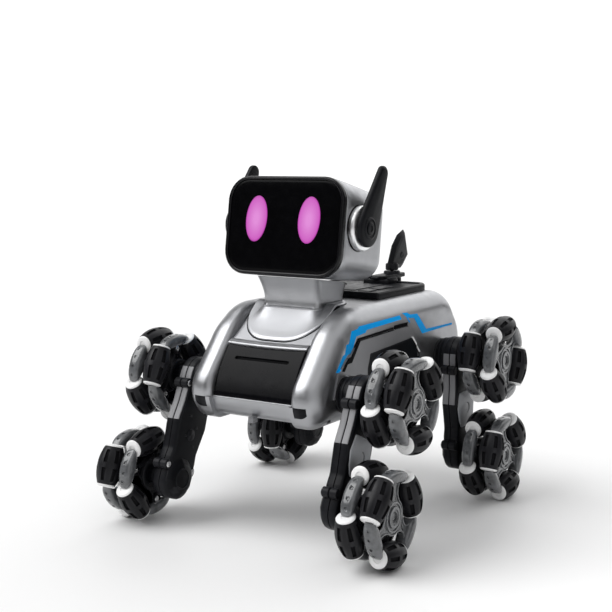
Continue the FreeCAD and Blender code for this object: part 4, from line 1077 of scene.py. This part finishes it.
def side_trim(rows):
    """The same trim on both sides: each row is a label, outlines, finish, slot, lift and cell size."""
    tree = side_tree()
    for side, word in ((1, "left"), (-1, "right")):
        for label, outlines, material, slot, lift, cell_size in rows:
            bm = bmesh.new()
            for outline in outlines:
                lay_on_side(bm, tree, outline, lift, side, cell_size)
            piece(f"{word}_side_{label}", bm, [material], "torso")


def chin_latch():
    """A small catch low on the chin."""
    front = corners_of("torso_lower_shell")[0].y + 3.4
    bm = bmesh.new()
    block(bm, (-2.6, front, 84.6), (2.2, front + 6, 89.2), 0.5)
    piece("chin_latch", bm, [GREY], "torso")


def back():
    """Tray with a sunk deck, rails and a front catch; plate and foot of the tail."""
    low, high = corners_of("back_tray")
    half_u, front, rear = (high.x - low.x) / 2, low.y, high.y
    outline = rounded([(half_u, front, 2.0), (half_u, rear, 12.0),
                       (-half_u, rear, 12.0), (-half_u, front, 2.0)], 6)
    bm = bmesh.new()
    slab(bm, outline, [(0.2, low.z - 1.2), (0, low.z - 0.6), (0, high.z - 1.5), (0.3, high.z - 0.7),
                       (1.2, high.z), (3.4, high.z), (3.8, high.z - 0.4), (4.0, high.z - 1.2)])
    for x in (-22, 22):
        for start, end in ((10, 24), (27, 52)):
            block(bm, (x - 5, front + start, high.z - 2), (x + 5, front + end, high.z - 0.3), 0.4)
    block(bm, (-13, front + 8, high.z - 2), (13, front + 11, high.z + 0.2), 0.5)
    block(bm, (-12, front + 14, high.z - 2), (12, front + 60, high.z - 0.5), 0.5)
    piece("tray_skin", bm, [BLACK], "torso", ["back_tray"])
    deck = high.z
    low, high = corners_of("tail_base")
    tail_pivot = pivot("tail_wag")
    plate = tail_pivot.z - 6.3
    bm = bmesh.new()
    block(bm, (-12, low.y, low.z - 1.0), (12, low.y + 18, plate + 0.6), 0.8)
    for x in (-11.2, 11.2):
        block(bm, (x - 1.6, low.y + 1.5, deck - 1), (x + 1.6, low.y + 15, plate + 2.2), 0.6)
    outline = rounded([(7, low.y + 1, 3), (7, high.y, 6), (-7, high.y, 6), (-7, low.y + 1, 3)], 5)
    slab(bm, outline, soft(plate, plate + 3.4, 0.7))
    block(bm, (-3.0, low.y - 2.5, plate + 0.6), (3.0, low.y + 10, plate + 2.8), 0.6)
    turned(bm, [(7.0, -0.2), (7.0, 4.6), (6.4, 5.6), (1.5, 5.6), (1.5, 9)], shift(0, tail_pivot.y, plate), 36)
    turned(bm, [(3.6, -6.0), (3.6, -1.0), (2.8, 0.2)], shift(0, high.y - 6, plate), 24)
    piece("tail_foot", bm, [BLACK], "torso", ["tail_base"])


def tail_fin():
    """Blade fin with ground facets and a hub that turns on the tail foot."""
    outline = [(89.5, 176.8), (91.5, 184), (98, 197), (107, 205.6), (117.5, 209.6), (120.3, 206.8),
               (126, 187.4), (116, 178.6), (112.5, 176.8)]
    points = anticlockwise([Vector((y + DATUM_Y, z)) for y, z in outline])
    bm = bmesh.new()
    slab(bm, points, [(4.4, -2.4), (3.6, -2.3), (0.2, -0.5), (0, 0), (0.2, 0.5), (3.6, 2.3), (4.4, 2.4)],
         ACROSS)
    base = pivot("tail_wag")
    turned(bm, [(5.2, 0.1), (5.5, 0.5), (5.5, 4.6), (4.8, 5.6), (0.02, 5.8)], shift(0, base.y, base.z), 32)
    place = shift(0, at(0, 112, 0).y, 188) @ ACROSS
    for side in (-1, 1):
        turned(bm, [(3.0, side * 1.6), (3.0, side * 2.7), (2.2, side * 2.9), (0.02, side * 2.2)], place, 20)
    piece("tail_blade", bm, [BLACK], "tail_fin", ["tail"])


def belly():
    """Battery door with grip ribs and a screw, and a ridged switch knob."""
    low, high = corners_of("battery_door")
    bm = bmesh.new()
    for index in range(9):
        y = low.y + 8 + 3.2 * index
        block(bm, (-16, y, low.z - 0.7), (16, y + 1.4, low.z + 0.4), 0.3)
    turned(bm, [(4.4, 0.4), (4.4, -0.8), (3.4, -0.9), (3.2, 0.2), (0.02, 0.2)],
           shift(0, high.y - 14, low.z), 24)
    piece("door_ribs", bm, [BLACK], "door")
    low, high = corners_of("power_switch")
    bm = bmesh.new()
    for index in range(4):
        y = low.y + 2.6 + 1.1 * index
        block(bm, (-2.6, y, low.z - 0.5), (2.6, y + 0.5, low.z + 0.4), 0.15)
    piece("switch_ridges", bm, [BLACK], "switch")


# ------------------------------------------------- the CAD's own visible parts


def repaint():
    """Each CAD node that stays takes the finish of its slot."""
    finish = {
        "silver_paint": SILVER, "grey_paint": GREY, "gloss_black": GLOSS, "black_plastic": BLACK,
        "leg_black": LEG, "screen_glass": SCREEN, "eye_light": EYE, "bright_ring": BRIGHT,
        "smoky_plastic": SMOKY, "roller_rubber": RUBBER, "belt_rubber": BELT, "axle_steel": NYLON,
        "motor_case": MOTOR, "screw_steel": STEEL, "battery_wrap": WRAP, "board_green": BOARD,
    }
    for row in frame["record"]["subparts"]:
        data = frame["nodes"][row["node"]].data
        if not data.materials:
            data.materials.append(None)
        for index in range(len(data.materials)):
            data.materials[index] = finish[row["material_slot"]]


# ------------------------------------------------------------- set and camera

FLOOR_HALF = 6000
BACKDROP_WAY = (-0.52, 0.85, 0.0)
# How closely a direction points at the backdrop where it fades in and is full.
BACKDROP_EDGE = (0.70, 0.95)
BACKDROP_LIGHT = 1.15
ROOM_LIGHT = 0.13
# Name, the way to the lamp, how wide it looks in degrees, and its strength.
LAMPS = (
    ("key", (-0.52, -0.42, 0.75), 52, 2.3),
    ("fill", (0.75, -0.60, 0.45), 60, 0.40),
    ("rim", (0.15, 0.85, 0.60), 60, 0.9),
    ("top", (0.0, 0.0, 1.0), 90, 1.0),
)


def stage_floor():
    """A white floor under the toy, part of the set only."""
    bm = bmesh.new()
    corners = [Vector((x, y)) * FLOOR_HALF for x, y in ((-1, -1), (1, -1), (1, 1), (-1, 1))]
    slab(bm, corners, [(0, -20), (0, 0)])
    floor = bpy.data.objects.new("floor", mesh_of("floor", bm, [FLOOR]))
    bpy.context.scene.collection.objects.link(floor)


def lamp(name, way, spread, strength):
    """Soft light from far off."""
    light = bpy.data.lights.new(name, "SUN")
    light.angle = math.radians(spread)
    light.energy = strength
    holder = bpy.data.objects.new(name, light)
    holder.rotation_mode = "QUATERNION"
    holder.rotation_quaternion = (-Vector(way)).to_track_quat("-Z", "Y")
    bpy.context.scene.collection.objects.link(holder)


def studio():
    """Wide soft lamps round the toy, a white backdrop behind it and a dimmer room in front."""
    world = bpy.data.worlds.new("studio")
    world.use_nodes = True
    nodes = world.node_tree.nodes
    link = world.node_tree.links.new
    facing = nodes.new("ShaderNodeVectorMath")
    facing.operation = "DOT_PRODUCT"
    link(nodes.new("ShaderNodeTexCoord").outputs["Generated"], facing.inputs[0])
    facing.inputs[1].default_value = BACKDROP_WAY
    spread = map_range(world.node_tree, facing.outputs["Value"], BACKDROP_EDGE, (ROOM_LIGHT, BACKDROP_LIGHT))
    spread.interpolation_type = "SMOOTHSTEP"
    background = nodes["Background"]
    background.inputs["Color"].default_value = (1.0, 1.0, 1.0, 1.0)
    link(spread.outputs["Result"], background.inputs["Strength"])
    bpy.context.scene.world = world
    bpy.context.scene.view_settings.view_transform = "Standard"
    for row in LAMPS:
        lamp(*row)


# The camera looks from in front and to the toy's left, a little above the aim; the shift frames
# the toy low and to the side.
VIEW_AZIMUTH, VIEW_ELEVATION = math.radians(31.4), math.radians(4.5)
AIM_HEIGHT = 199.71
VIEW_DISTANCE = 0.90145
LENS, SENSOR = 68.15, 36
SHIFT_X, SHIFT_Y = -0.0425, -0.0915


def camera():
    """The view of the toy from its front left."""
    level = math.cos(VIEW_ELEVATION)
    back_way = Vector((math.sin(VIEW_AZIMUTH) * level, -math.cos(VIEW_AZIMUTH) * level,
                       math.sin(VIEW_ELEVATION)))
    data = bpy.data.cameras.new("camera")
    data.sensor_width = SENSOR
    data.lens = LENS
    data.shift_x = SHIFT_X
    data.shift_y = SHIFT_Y
    data.clip_start = 0.05
    data.clip_end = 50
    holder = bpy.data.objects.new("camera", data)
    holder.location = at(0, 0, AIM_HEIGHT) * MM + back_way * VIEW_DISTANCE
    holder.rotation_mode = "QUATERNION"
    holder.rotation_quaternion = (-back_way).to_track_quat("-Z", "Y")
    bpy.context.scene.collection.objects.link(holder)
    bpy.context.scene.camera = holder


camera()
studio()
stage_floor()
repaint()
wheels()
legs()
face()
eye(1)
eye(-1)
head_skin()
head_side_panels()
ear_rings()
ears()
neck()
chest()
side_trim((("stripe", BLUE_LINES, BLUE, "grey_paint", 0.2, 0.7),
           ("line", BLACK_LINES + TICKS, INK_AND_SHADE, "gloss_black", 0.6, 0.7)))
side_trim((("arch", (ARCH,), BLACK, "black_plastic", 0.35, 2.0),
           ("arch_line", (ARCH_LINE,), WHITE, "silver_paint", 0.5, 2.0)))
chin_latch()
back()
tail_fin()
belly()
